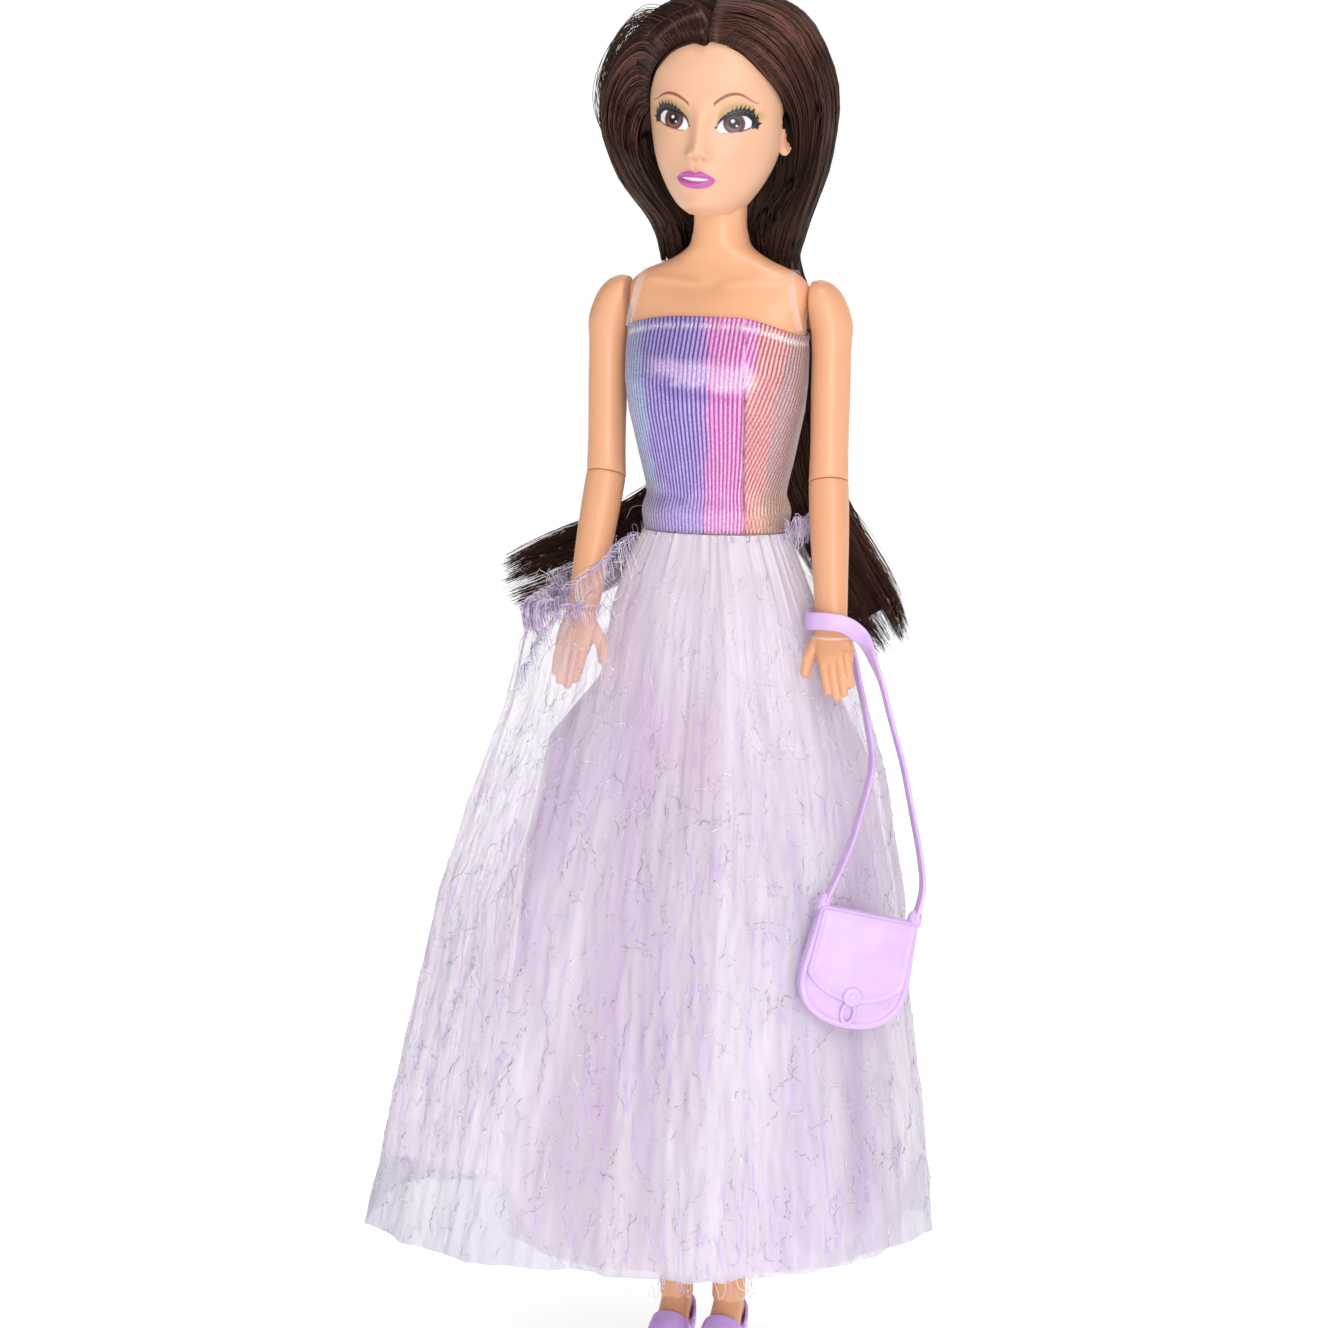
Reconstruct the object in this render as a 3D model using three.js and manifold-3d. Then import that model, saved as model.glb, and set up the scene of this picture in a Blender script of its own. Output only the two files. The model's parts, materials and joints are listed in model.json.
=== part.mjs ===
// A dressed fashion doll, 11.5 inch class, in millimetres.
// The doll faces -Y, its own left hand is on +X, and it stands on the soles of its shoes at z = 0.
import * as THREE from 'three';
import { mergeVertices } from 'three/addons/utils/BufferGeometryUtils.js';
import Module from 'manifold-3d';

const wasm = await Module();
wasm.setup();

// Fits
const clearance = 0.3;
const clothThickness = 0.6;
const overrun = 3;

// Heights and lengths of the body
const ankleHeight = 17;
const shinLength = 68;
const thighLength = 73;
const hipToShoulder = 68.6;
const crotchDrop = 9;
const neckRise = 20.5;
const ankleForward = 4.5;
const shoulderBack = 1.5;

// Torso
const bustWidth = 37.2;
const bustDepth = 25.2;
const shoulderWidth = 39.2;
const neckDiameter = 11.5;
const torsoWall = 1.6;
const pelvisCoreWidth = 9;
const hipRadius = 10.2;
const hipPegDiameter = 5;
const hipPegLength = 3.8;
const knobDiameter = 11.4;
const knobHeight = 5;
const knobStemDiameter = 8;

// Arms
const upperArmLength = 37.2;
const armDiameter = 8.3;
const shoulderPegDiameter = 4.4;
const shoulderPegLength = 5;
const elbowDiameter = 8.3;
const elbowPegDiameter = 3.6;
const elbowPegLength = 5;
const forearmDrop = 26.8;
const forearmForward = 10;
const wristDiameter = 6.6;
const forearmSplay = { left: 3.7, right: 1.6 };
const handLength = 18.5;
const palmWidth = 8.4;
const palmThickness = 3.6;
const fingerDiameter = 2.1;
const thumbDiameter = 2.4;

// Legs
const hipSpacing = 16;
const ankleSpacing = 11.4;
const thighDiameter = 15;
const kneeDiameter = 9.6;
const calfDiameter = 10;
const ankleDiameter = 6.4;
const kneeTongueWidth = 3.2;
const kneePinDiameter = 2;
const footLength = 20;
const footWidth = 7.2;

// Shoes
const shoeWidth = 9.4;
const soleThickness = 2;
const heelHeight = 9.5;
const heelTipLength = 3.4;
const bandThickness = 0.9;

// Head and hair
const headHeight = 43;
const headWidth = 28;
const headDepth = 30;
const headWall = 1.7;
const headYaw = THREE.MathUtils.degToRad(4);
const hairWidth = 50;
const hairDepth = 37;
const hairHeight = 49.5;
const hairFallLength = 78;
const hairFallWidth = 25;
const hairFallThickness = 9.5;

// Bodice and straps
const bodiceHeight = 45.6;
const bodiceBelowShoulder = 50.1;
const bodiceSideDip = 3.2;
const closureWidth = 6;
const strapWidth = 1.7;
const strapThickness = 0.5;

// Gown
const gownDrop = 147;
const gownSide = 43;
const gownDepth = 68;
const overlayReach = 60;
const overlayDepth = 84;
const foldDepth = 1.3;
const hemRise = 5;
const pocketBelowWrist = 0.5;

// Bag
const bagWidth = 23;
const bagHeight = 24;
const bagThickness = 3.6;
const bagRimWidth = 1.2;
const reliefHeight = 0.6;
const bagStrapWidth = 3.6;
const bagStrapThickness = 0.9;
const bagDrop = 69.6;
const bagTurn = THREE.MathUtils.degToRad(28);
const bagRoll = THREE.MathUtils.degToRad(-12.6);
const bandWireDiameter = 0.6;

// Counts
const limbSides = 12;
const bodySides = 24;
const gownSides = 48;
const gownLevels = 7;
const foldCount = 10;
const roundSides = 12;
const fingerSides = 6;
const strapSteps = 44;

// Places worked out from the lengths
const kneeHeight = ankleHeight + shinLength;
const hipHeight = kneeHeight + thighLength;
const shoulderHeight = hipHeight + hipToShoulder;
const torsoBottom = hipHeight - crotchDrop;
const torsoHeight = hipToShoulder + crotchDrop + neckRise;
const neckTop = torsoBottom + torsoHeight;
const waistline = shoulderHeight - bodiceBelowShoulder;
const bodiceTop = waistline + bodiceHeight;
const headBottom = neckTop - clearance - headHeight * 0.06;

const colours = {
  skin: ['#f0c09a', 0.5, 0],
  hair: ['#33201c', 0.55, 0],
  metallicKnit: ['#b88ad8', 0.35, 0.3],
  satin: ['#e6d8ea', 0.35, 0],
  tulle: ['#d9c9e8', 0.5, 0],
  tape: ['#e8e2ea', 0.9, 0],
  clear: ['#f2f4f8', 0.1, 0],
  lilac: ['#e5cbf0', 0.4, 0],
  purple: ['#b98ae6', 0.3, 0],
  steel: ['#b8bcc0', 0.3, 1],
};

function materialOf(key) {
  const [color, roughness, metalness] = colours[key];
  return new THREE.MeshStandardMaterial({ color, roughness, metalness });
}

function point(x, y, z) {
  return new THREE.Vector3(x, y, z);
}

// The enclosed volume, negative where the faces point inwards.
function enclosedVolume(positions, index) {
  const a = new THREE.Vector3();
  const b = new THREE.Vector3();
  const c = new THREE.Vector3();
  let sum = 0;
  for (let i = 0; i < index.length; i += 3) {
    a.fromArray(positions, index[i] * 3);
    b.fromArray(positions, index[i + 1] * 3);
    c.fromArray(positions, index[i + 2] * 3);
    sum += a.dot(b.cross(c));
  }
  return sum / 6;
}

// A closed body through rings with the same number of points. Open chains of rings get a fan at
// each end; a looped chain closes on its own first ring, which makes a wall such as a skirt's.
function bodyThroughRings(rings, looped = false) {
  const sides = rings[0].length;
  const positions = rings.flat().flatMap((p) => [p.x, p.y, p.z]);
  const index = [];
  const last = looped ? rings.length : rings.length - 1;
  for (let r = 0; r < last; r += 1) {
    const next = (r + 1) % rings.length;
    for (let k = 0; k < sides; k += 1) {
      const k2 = (k + 1) % sides;
      const a = r * sides + k;
      const b = r * sides + k2;
      const c = next * sides + k2;
      const d = next * sides + k;
      index.push(a, b, c, a, c, d);
    }
  }
  if (!looped) {
    [0, rings.length - 1].forEach((r, end) => {
      const middle = new THREE.Vector3();
      rings[r].forEach((p) => middle.addScaledVector(p, 1 / sides));
      const m = positions.length / 3;
      positions.push(middle.x, middle.y, middle.z);
      for (let k = 0; k < sides; k += 1) {
        const a = r * sides + k;
        const b = r * sides + (k + 1) % sides;
        if (end === 0) index.push(m, b, a);
        else index.push(m, a, b);
      }
    });
  }
  if (enclosedVolume(positions, index) < 0) index.reverse();
  const geometry = new THREE.BufferGeometry();
  geometry.setAttribute('position', new THREE.Float32BufferAttribute(positions, 3));
  geometry.setIndex(index);
  return geometry;
}

// One ring round a middle: wide and deep are half sizes along the two axes given.
function ring(middle, wideAxis, deepAxis, wide, deep, sides, power = 2) {
  const points = [];
  for (let k = 0; k < sides; k += 1) {
    const angle = (k / sides) * Math.PI * 2;
    const c = Math.cos(angle);
    const s = Math.sin(angle);
    const across = Math.sign(c) * Math.abs(c) ** (2 / power) * wide;
    const along = Math.sign(s) * Math.abs(s) ** (2 / power) * deep;
    points.push(middle.clone().addScaledVector(wideAxis, across).addScaledVector(deepAxis, along));
  }
  return points;
}

const xAxis = point(1, 0, 0);
const yAxis = point(0, 1, 0);

// A limb along a chain of stations [middle, half width, half depth], each ring square to the chain.
function limb(stations, sides, power = 2) {
  const rings = stations.map(([middle, wide, deep], i) => {
    const before = stations[Math.max(i - 1, 0)][0];
    const after = stations[Math.min(i + 1, stations.length - 1)][0];
    const along = after.clone().sub(before).normalize();
    const deepAxis = along.clone().cross(xAxis).normalize();
    const wideAxis = deepAxis.clone().cross(along).normalize();
    return ring(middle, wideAxis, deepAxis, wide, deep, sides, power);
  });
  return bodyThroughRings(rings);
}

function solid(geometry) {
  const bare = geometry.clone();
  bare.deleteAttribute('normal');
  bare.deleteAttribute('uv');
  const merged = mergeVertices(bare);
  return new wasm.Manifold(new wasm.Mesh({
    numProp: 3,
    vertProperties: new Float32Array(merged.attributes.position.array),
    triVerts: new Uint32Array(merged.index.array),
  }));
}

function geometryOf(body) {
  const mesh = body.getMesh();
  const geometry = new THREE.BufferGeometry();
  geometry.setAttribute('position', new THREE.Float32BufferAttribute(mesh.vertProperties, 3));
  geometry.setIndex(new THREE.Uint32BufferAttribute(mesh.triVerts, 1));
  return geometry;
}

// A block between two corners.
function block(low, high) {
  const size = high.clone().sub(low);
  const geometry = new THREE.BoxGeometry(size.x, size.y, size.z);
  geometry.translate((low.x + high.x) / 2, (low.y + high.y) / 2, (low.z + high.z) / 2);
  return solid(geometry);
}

// A round rod between two points.
function rod(from, to, radius) {
  const along = to.clone().sub(from);
  const geometry = new THREE.CylinderGeometry(radius, radius, along.length(), roundSides);
  const turn = new THREE.Quaternion().setFromUnitVectors(yAxis, along.clone().normalize());
  geometry.applyQuaternion(turn);
  const middle = from.clone().add(to).multiplyScalar(0.5);
  geometry.translate(middle.x, middle.y, middle.z);
  return solid(geometry);
}

const doll = new THREE.Group();

function addPart(name, body, key) {
  const mesh = new THREE.Mesh(geometryOf(body), materialOf(key));
  mesh.name = name;
  doll.add(mesh);
}

// Torso rows: height share, half width share, half depth share, shift back share. The lowest rows
// follow the bust, the next follow the shoulders' width and the bust's depth, the last the neck.
const bustShares = [
  [0, 0.16, 0.26, 0],
  [0.035, 0.52, 0.56, 0],
  [0.09, 0.76, 0.76, 0],
  [0.18, 0.81, 0.8, 0],
  [0.284, 0.79, 0.82, 0],
  [0.38, 0.742, 0.74, 0.01],
  [0.455, 0.84, 0.83, 0],
  [0.56, 0.96, 1, -0.05],
  [0.62, 0.995, 1.045, -0.07],
  [0.675, 1, 0.97, -0.045],
];
const shoulderShares = [
  [0.75, 0.945, 0.7, 0.02],
  [0.795, 0.985, 0.55, 0.06],
  [0.822, 0.97, 0.45, 0.08],
  [0.842, 0.797, 0.4, 0.09],
  [0.86, 0.532, 0.41, 0.09],
];
const neckShares = [
  [0.885, 1.2, 1.01, 0.2],
  [0.92, 1.03, 1.01, 0.175],
  [1, 1, 1, 0.09],
];
const torsoRows = [
  ...bustShares.map(([up, wide, deep, back]) => (
    [up, wide * bustWidth / 2, deep * bustDepth / 2, back * bustDepth / 2])),
  ...shoulderShares.map(([up, wide, deep, back]) => (
    [up, wide * shoulderWidth / 2, deep * bustDepth / 2, back * bustDepth / 2])),
  ...neckShares.map(([up, wide, deep, back]) => (
    [up, wide * neckDiameter / 2, deep * neckDiameter / 2, back * neckDiameter / 2])),
];

// A ring of the torso at a height, grown outwards by a distance.
function torsoRing(height, grown) {
  const share = THREE.MathUtils.clamp((height - torsoBottom) / torsoHeight, 0, 1);
  let i = 0;
  while (i < torsoRows.length - 2 && torsoRows[i + 1][0] < share) i += 1;
  const t = (share - torsoRows[i][0]) / (torsoRows[i + 1][0] - torsoRows[i][0]);
  const [, wide, deep, back] = torsoRows[i]
    .map((value, k) => THREE.MathUtils.lerp(value, torsoRows[i + 1][k], t));
  return ring(point(0, back, height), xAxis, yAxis, wide + grown, deep + grown, bodySides, 2.2);
}

function torsoBody(grown) {
  const rings = torsoRows.map(([share]) => torsoRing(torsoBottom + share * torsoHeight, grown));
  if (grown > 0) {
    rings[0].forEach((p) => { p.z -= grown; });
    rings[rings.length - 1].forEach((p) => { p.z += grown; });
  }
  return solid(bodyThroughRings(rings));
}

const neckMiddle = point(0, 0.09 * neckDiameter / 2, neckTop);

function raised(p, up) {
  return point(p.x, p.y, p.z + up);
}

function addTorso() {
  const hipAxisLeft = point(bustWidth, 0, hipHeight);
  const hipAxisRight = point(-bustWidth, 0, hipHeight);
  const legRoom = rod(hipAxisLeft, hipAxisRight, hipRadius + clearance);
  const core = block(
    point(-pelvisCoreWidth / 2, -bustDepth, torsoBottom - overrun),
    point(pelvisCoreWidth / 2, bustDepth, shoulderHeight),
  );
  const below = block(
    point(-bustWidth, -bustDepth, torsoBottom - overrun),
    point(bustWidth, bustDepth, hipHeight),
  );
  const cavityRings = [];
  const cavityShares = [0.24, 0.3, 0.38, 0.47, 0.56, 0.65, 0.73, 0.79];
  cavityShares.forEach((share) => {
    cavityRings.push(torsoRing(torsoBottom + share * torsoHeight, -torsoWall));
  });
  const cavity = solid(bodyThroughRings(cavityRings));
  const knobTop = knobStemDiameter / 4 + knobHeight;
  const knob = solid(limb([
    [raised(neckMiddle, -overrun), knobStemDiameter / 2, knobStemDiameter / 2],
    [raised(neckMiddle, knobHeight / 2), knobStemDiameter / 2, knobStemDiameter / 2],
    [raised(neckMiddle, knobHeight * 0.7), knobDiameter / 2, knobDiameter / 2],
    [raised(neckMiddle, knobTop), knobDiameter * 0.4, knobDiameter * 0.4],
  ], roundSides));
  const shoulderHole = rod(
    point(-bustWidth, shoulderBack, shoulderHeight),
    point(bustWidth, shoulderBack, shoulderHeight),
    shoulderPegDiameter / 2 + clearance,
  );
  const hipHole = rod(hipAxisLeft, hipAxisRight, hipPegDiameter / 2 + clearance);
  const between = block(
    point(-shoulderWidth / 2, -bustDepth, torsoBottom - overrun),
    point(shoulderWidth / 2, bustDepth, neckTop + knobTop + overrun),
  );
  const whole = torsoBody(0).intersect(between).subtract(legRoom.add(below).subtract(core))
    .add(knob).subtract(cavity).subtract(shoulderHole).subtract(hipHole);
  const high = neckTop + knobTop + overrun;
  const front = block(
    point(-bustWidth, -bustDepth, torsoBottom - overrun),
    point(bustWidth, shoulderBack - clearance / 2, high),
  );
  const back = block(
    point(-bustWidth, shoulderBack + clearance / 2, torsoBottom - overrun),
    point(bustWidth, bustDepth, high),
  );
  addPart('torso_front', whole.intersect(front), 'skin');
  addPart('torso_back', whole.intersect(back), 'skin');
}

// Arms. side is 1 on the doll's left and -1 on its right.
// They hang clear of the shoulders or of the dressed bust, whichever is the wider.
const dressedBust = bustWidth + 2 * (clearance + clothThickness);
const armFace = Math.max(shoulderWidth, dressedBust) / 2 + clearance;
const armX = armFace + armDiameter / 2;

function armPoints(side) {
  const splay = side > 0 ? forearmSplay.left : forearmSplay.right;
  const shoulder = point(side * armX, shoulderBack, shoulderHeight);
  const elbow = point(side * armX, 0, shoulderHeight - upperArmLength);
  const wrist = point(side * (armX + splay), -forearmForward, elbow.z - forearmDrop);
  // The left hand hangs outside the gown, and the right one inside the overlay.
  const gownEdge = overlayReach * sharesAt(overlayShares, (waistline - wrist.z) / gownDrop)[1];
  if (side > 0) wrist.x = Math.max(wrist.x, gownEdge + wristDiameter / 2 + clearance);
  const forearmLine = wrist.clone().sub(elbow).normalize();
  const reach = point(forearmLine.x * 1.3 + side * 0.06, forearmLine.y * 1.15, forearmLine.z);
  const handLine = reach.normalize();
  return { shoulder, elbow, wrist, forearmLine, handLine };
}

// Distance down the arm as a share of its length, then half sizes as shares of the arm diameter
const upperArmShares = [
  [-0.118, 0.1, 0.1],
  [-0.1, 0.32, 0.33],
  [-0.06, 0.48, 0.51],
  [0, 0.55, 0.58],
  [0.08, 0.56, 0.575],
  [0.22, 0.5, 0.54],
  [0.5, 0.49, 0.51],
  [0.8, 0.475, 0.49],
  [1, 0.5, 0.5],
];
const forearmShares = [
  [0, 1, 1],
  [0.15, 1, 1],
  [0.4, 0.96, 0.97],
  [0.75, 0.86, 0.85],
  [1, 0.795, 0.72],
];
const palmShares = [
  [0, 0.78, 0.8],
  [0.14, 0.86, 0.92],
  [0.34, 1, 1],
  [0.52, 0.98, 0.78],
  [0.6, 0.9, 0.6],
];
const fingerPlaceShares = [-0.36, -0.12, 0.12, 0.36];
const fingerReachShares = [0.9, 1, 0.98, 0.86];

function addArm(side) {
  const label = side > 0 ? 'left' : 'right';
  const { shoulder, elbow, wrist, forearmLine, handLine } = armPoints(side);
  const down = elbow.clone().sub(shoulder);
  const upper = solid(limb(upperArmShares.map(([share, wide, deep]) => [
    shoulder.clone().addScaledVector(down, share), wide * armDiameter, deep * armDiameter,
  ]), limbSides));
  const faceX = side * armFace;
  const inner = block(
    point(Math.min(0, faceX), -bustDepth, elbow.z - overrun),
    point(Math.max(0, faceX), bustDepth, shoulderHeight + armDiameter),
  );
  const peg = rod(
    point(side * (shoulderWidth / 2 - shoulderPegLength), shoulderBack, shoulderHeight),
    point(faceX + side * shoulderPegLength / 2, shoulderBack, shoulderHeight),
    shoulderPegDiameter / 2,
  );
  const pegHole = rod(
    elbow.clone().addScaledVector(forearmLine, overrun),
    elbow.clone().addScaledVector(forearmLine, -elbowPegLength - clearance),
    elbowPegDiameter / 2 + clearance,
  );
  const belowElbow = rod(
    elbow.clone().addScaledVector(forearmLine, -clearance),
    elbow.clone().addScaledVector(forearmLine, armDiameter),
    armDiameter,
  );
  addPart(`upper_arm_${label}`, upper.subtract(inner).add(peg).subtract(belowElbow)
    .subtract(pegHole), 'skin');

  const forearmLength = elbow.distanceTo(wrist);
  const forearm = solid(limb(forearmShares.map(([share, wide, deep]) => [
    elbow.clone().addScaledVector(forearmLine, share * forearmLength),
    wide * elbowDiameter / 2, deep * elbowDiameter / 2,
  ]), limbSides));
  const palm = solid(limb(palmShares.map(([share, wide, deep]) => [
    wrist.clone().addScaledVector(handLine, share * handLength),
    wide * palmWidth / 2, deep * palmThickness / 2 * (share > 0 ? 1 : wristDiameter / palmThickness),
  ]), limbSides, 2.4));
  const across = handLine.clone().cross(yAxis).normalize();
  if (across.x * side < 0) across.negate();
  let hand = forearm.add(palm);
  fingerPlaceShares.forEach((place, i) => {
    const start = wrist.clone().addScaledVector(handLine, handLength / 2)
      .addScaledVector(across, place * palmWidth);
    const tip = start.clone().addScaledVector(handLine, handLength * (fingerReachShares[i] - 0.5))
      .addScaledVector(across, place * palmWidth / 4);
    const knuckle = start.clone().lerp(tip, 0.55);
    const nearTip = start.clone().lerp(tip, 0.9);
    hand = hand.add(solid(limb([
      [start, fingerDiameter / 2, fingerDiameter / 2],
      [knuckle, fingerDiameter / 2, fingerDiameter / 2],
      [nearTip, fingerDiameter * 0.42, fingerDiameter * 0.42],
      [tip, fingerDiameter * 0.22, fingerDiameter * 0.22],
    ], fingerSides)));
  });
  const thumbRoot = wrist.clone().addScaledVector(handLine, handLength * 0.2)
    .addScaledVector(across, -palmWidth * 0.28);
  const thumbBend = wrist.clone().addScaledVector(handLine, handLength * 0.36)
    .addScaledVector(across, -palmWidth * 0.66);
  const thumbTip = wrist.clone().addScaledVector(handLine, handLength * 0.6)
    .addScaledVector(across, -palmWidth * 0.84);
  hand = hand.add(solid(limb([
    [thumbRoot, thumbDiameter * 0.6, thumbDiameter / 2],
    [thumbBend, thumbDiameter / 2, thumbDiameter / 2],
    [thumbBend.clone().lerp(thumbTip, 0.8), thumbDiameter * 0.45, thumbDiameter * 0.42],
    [thumbTip, thumbDiameter * 0.25, thumbDiameter * 0.22],
  ], fingerSides)));
  const elbowPeg = rod(
    elbow.clone().addScaledVector(forearmLine, overrun),
    elbow.clone().addScaledVector(forearmLine, -elbowPegLength),
    elbowPegDiameter / 2,
  );
  addPart(`forearm_${label}`, hand.add(elbowPeg), 'skin');
}

// Legs: share of the way from hip to knee, then half sizes as shares of the thigh diameter
const thighShares = [
  [-0.1, 0.42, 0.41],
  [0, 0.5, 0.62],
  [0.12, 0.52, 0.6],
  [0.3, 0.49, 0.54],
  [0.6, 0.4, 0.42],
  [0.85, 0.335, 0.35],
  [1, 0.32, 0.33],
  [1.06, 0.315, 0.325],
];
const shinShares = [
  [-0.07, 0.48, 0.48],
  [0, 0.48, 0.49],
  [0.15, 0.46, 0.48],
  [0.32, 0.48, 0.52],
  [0.6, 0.4, 0.42],
  [0.85, 0.31, 0.34],
  [1, 0.31, 0.33],
];
// Foot stations: share of the foot length forward, height share of the ankle height, half sizes
const footShares = [
  [-0.04, 1, 0.43, 0.46],
  [0.1, 0.76, 0.46, 0.5],
  [0.34, 0.55, 0.47, 0.42],
  [0.58, 0.36, 0.5, 0.33],
  [0.82, 0.255, 0.5, 0.23],
  [1, 0.235, 0.4, 0.16],
];

function legPoints(side) {
  const hip = point(side * hipSpacing / 2, 0, hipHeight);
  const ankle = point(side * ankleSpacing / 2, -ankleForward, ankleHeight);
  const knee = hip.clone().lerp(ankle, thighLength / (thighLength + shinLength));
  return { hip, knee, ankle };
}

function footBody(side, grown) {
  const { ankle } = legPoints(side);
  const stations = footShares.map(([forward, height, wide, deep]) => [
    point(ankle.x, ankle.y - forward * footLength, height * ankleHeight),
    wide * footWidth + grown,
    deep * footWidth + grown,
  ]);
  const toe = stations[stations.length - 1][0];
  const beyond = stations[stations.length - 2][0];
  if (grown > 0) toe.add(toe.clone().sub(beyond).setLength(grown));
  const heel = new THREE.SphereGeometry(footWidth * 0.43 + grown, limbSides, fingerSides);
  heel.translate(ankle.x, ankle.y + footWidth * 0.18, heelHeight + soleThickness + footWidth * 0.38);
  return solid(limb(stations, limbSides)).add(solid(heel));
}

function addLeg(side) {
  const label = side > 0 ? 'left' : 'right';
  const { hip, knee, ankle } = legPoints(side);
  const kneeRadius = kneeDiameter / 2;
  const reach = point(bustWidth, 0, 0);
  const inside = side * (pelvisCoreWidth / 2 + clearance);
  const hipCap = rod(
    point(inside, 0, hipHeight),
    point(side * (hipSpacing / 2 + thighDiameter * 0.42), 0, hipHeight),
    hipRadius - clearance,
  );
  const hipPeg = rod(
    point(inside - side * hipPegLength, 0, hipHeight),
    point(hip.x, 0, hipHeight),
    hipPegDiameter / 2,
  );
  const crossing = block(
    point(Math.min(0, inside) - (side > 0 ? bustWidth : 0), -bustDepth, ankleHeight),
    point(Math.max(0, inside) + (side > 0 ? 0 : bustWidth), bustDepth, hipHeight + hipRadius),
  );
  const thighLine = knee.clone().sub(hip);
  const thighLimb = solid(limb(thighShares.map(([share, wide, deep]) => [
    hip.clone().addScaledVector(thighLine, share), wide * thighDiameter, deep * thighDiameter,
  ]), limbSides));
  const kneeLeft = knee.clone().add(reach);
  const kneeRight = knee.clone().sub(reach);
  const kneeRound = rod(kneeLeft, kneeRight, kneeRadius);
  const kneeRoom = rod(kneeLeft, kneeRight, kneeRadius + clearance);
  const belowKnee = block(
    point(-bustWidth, -bustDepth, ankleHeight),
    point(bustWidth, bustDepth, kneeHeight),
  );
  const aboveKnee = block(
    point(-bustWidth, -bustDepth, kneeHeight - clearance),
    point(bustWidth, bustDepth, hipHeight + hipRadius),
  );
  const slotHalf = kneeTongueWidth / 2 + clearance;
  const tongueSlot = block(
    point(knee.x - slotHalf, -bustDepth, kneeHeight - kneeDiameter),
    point(knee.x + slotHalf, bustDepth, kneeHeight + kneeRadius + clearance),
  );
  const slotRoom = tongueSlot.intersect(kneeRoom.add(belowKnee));
  const pinHole = rod(kneeLeft, kneeRight, kneePinDiameter / 2 + clearance);
  const lowerPart = thighLimb.intersect(kneeRound).intersect(belowKnee);
  const thigh = thighLimb.subtract(belowKnee).add(lowerPart).add(hipCap).subtract(crossing)
    .add(hipPeg).subtract(slotRoom).subtract(pinHole);
  addPart(`thigh_${label}`, thigh, 'skin');

  const shinLine = ankle.clone().sub(knee);
  const shinLimb = solid(limb(shinShares.map(([share, wide, deep]) => [
    knee.clone().addScaledVector(shinLine, share), wide * calfDiameter, deep * calfDiameter,
  ]), limbSides));
  // Material behind the knee is relieved, so that the shin can swing back under the thigh.
  const relief = block(
    point(-bustWidth, knee.y, kneeHeight - kneeRadius * 1.25),
    point(bustWidth, bustDepth, hipHeight),
  );
  const tongueHalf = kneeTongueWidth / 2;
  const tongue = rod(
    point(knee.x - tongueHalf, knee.y, kneeHeight),
    point(knee.x + tongueHalf, knee.y, kneeHeight),
    kneeRadius - clearance,
  ).add(block(
    point(knee.x - tongueHalf, knee.y - kneeRadius / 2, kneeHeight - kneeDiameter),
    point(knee.x + tongueHalf, knee.y + kneeRadius / 2, kneeHeight),
  ).intersect(shinLimb));
  const shin = shinLimb.subtract(kneeRoom).subtract(aboveKnee).subtract(relief).add(tongue)
    .add(footBody(side, 0)).subtract(pinHole);
  addPart(`shin_${label}`, shin, 'skin');

  const pinHalf = kneeDiameter / 2 - clearance * 2;
  addPart(`knee_pin_${label}`, rod(
    point(knee.x - pinHalf, knee.y, kneeHeight),
    point(knee.x + pinHalf, knee.y, kneeHeight),
    kneePinDiameter / 2,
  ), 'steel');
}

// Shoe sole seen from the side: forward share of the foot length, height share of the heel height
const soleTopShares = [[1.1, 0.2], [0.9, 0.24], [0.66, 0.28], [0.36, 0.72], [0.12, 1.1], [-0.2, 1.2]];
const soleUnderShares = [[0.08, 0.78], [0.3, 0.42], [0.56, 0], [1.12, 0]];

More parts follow.
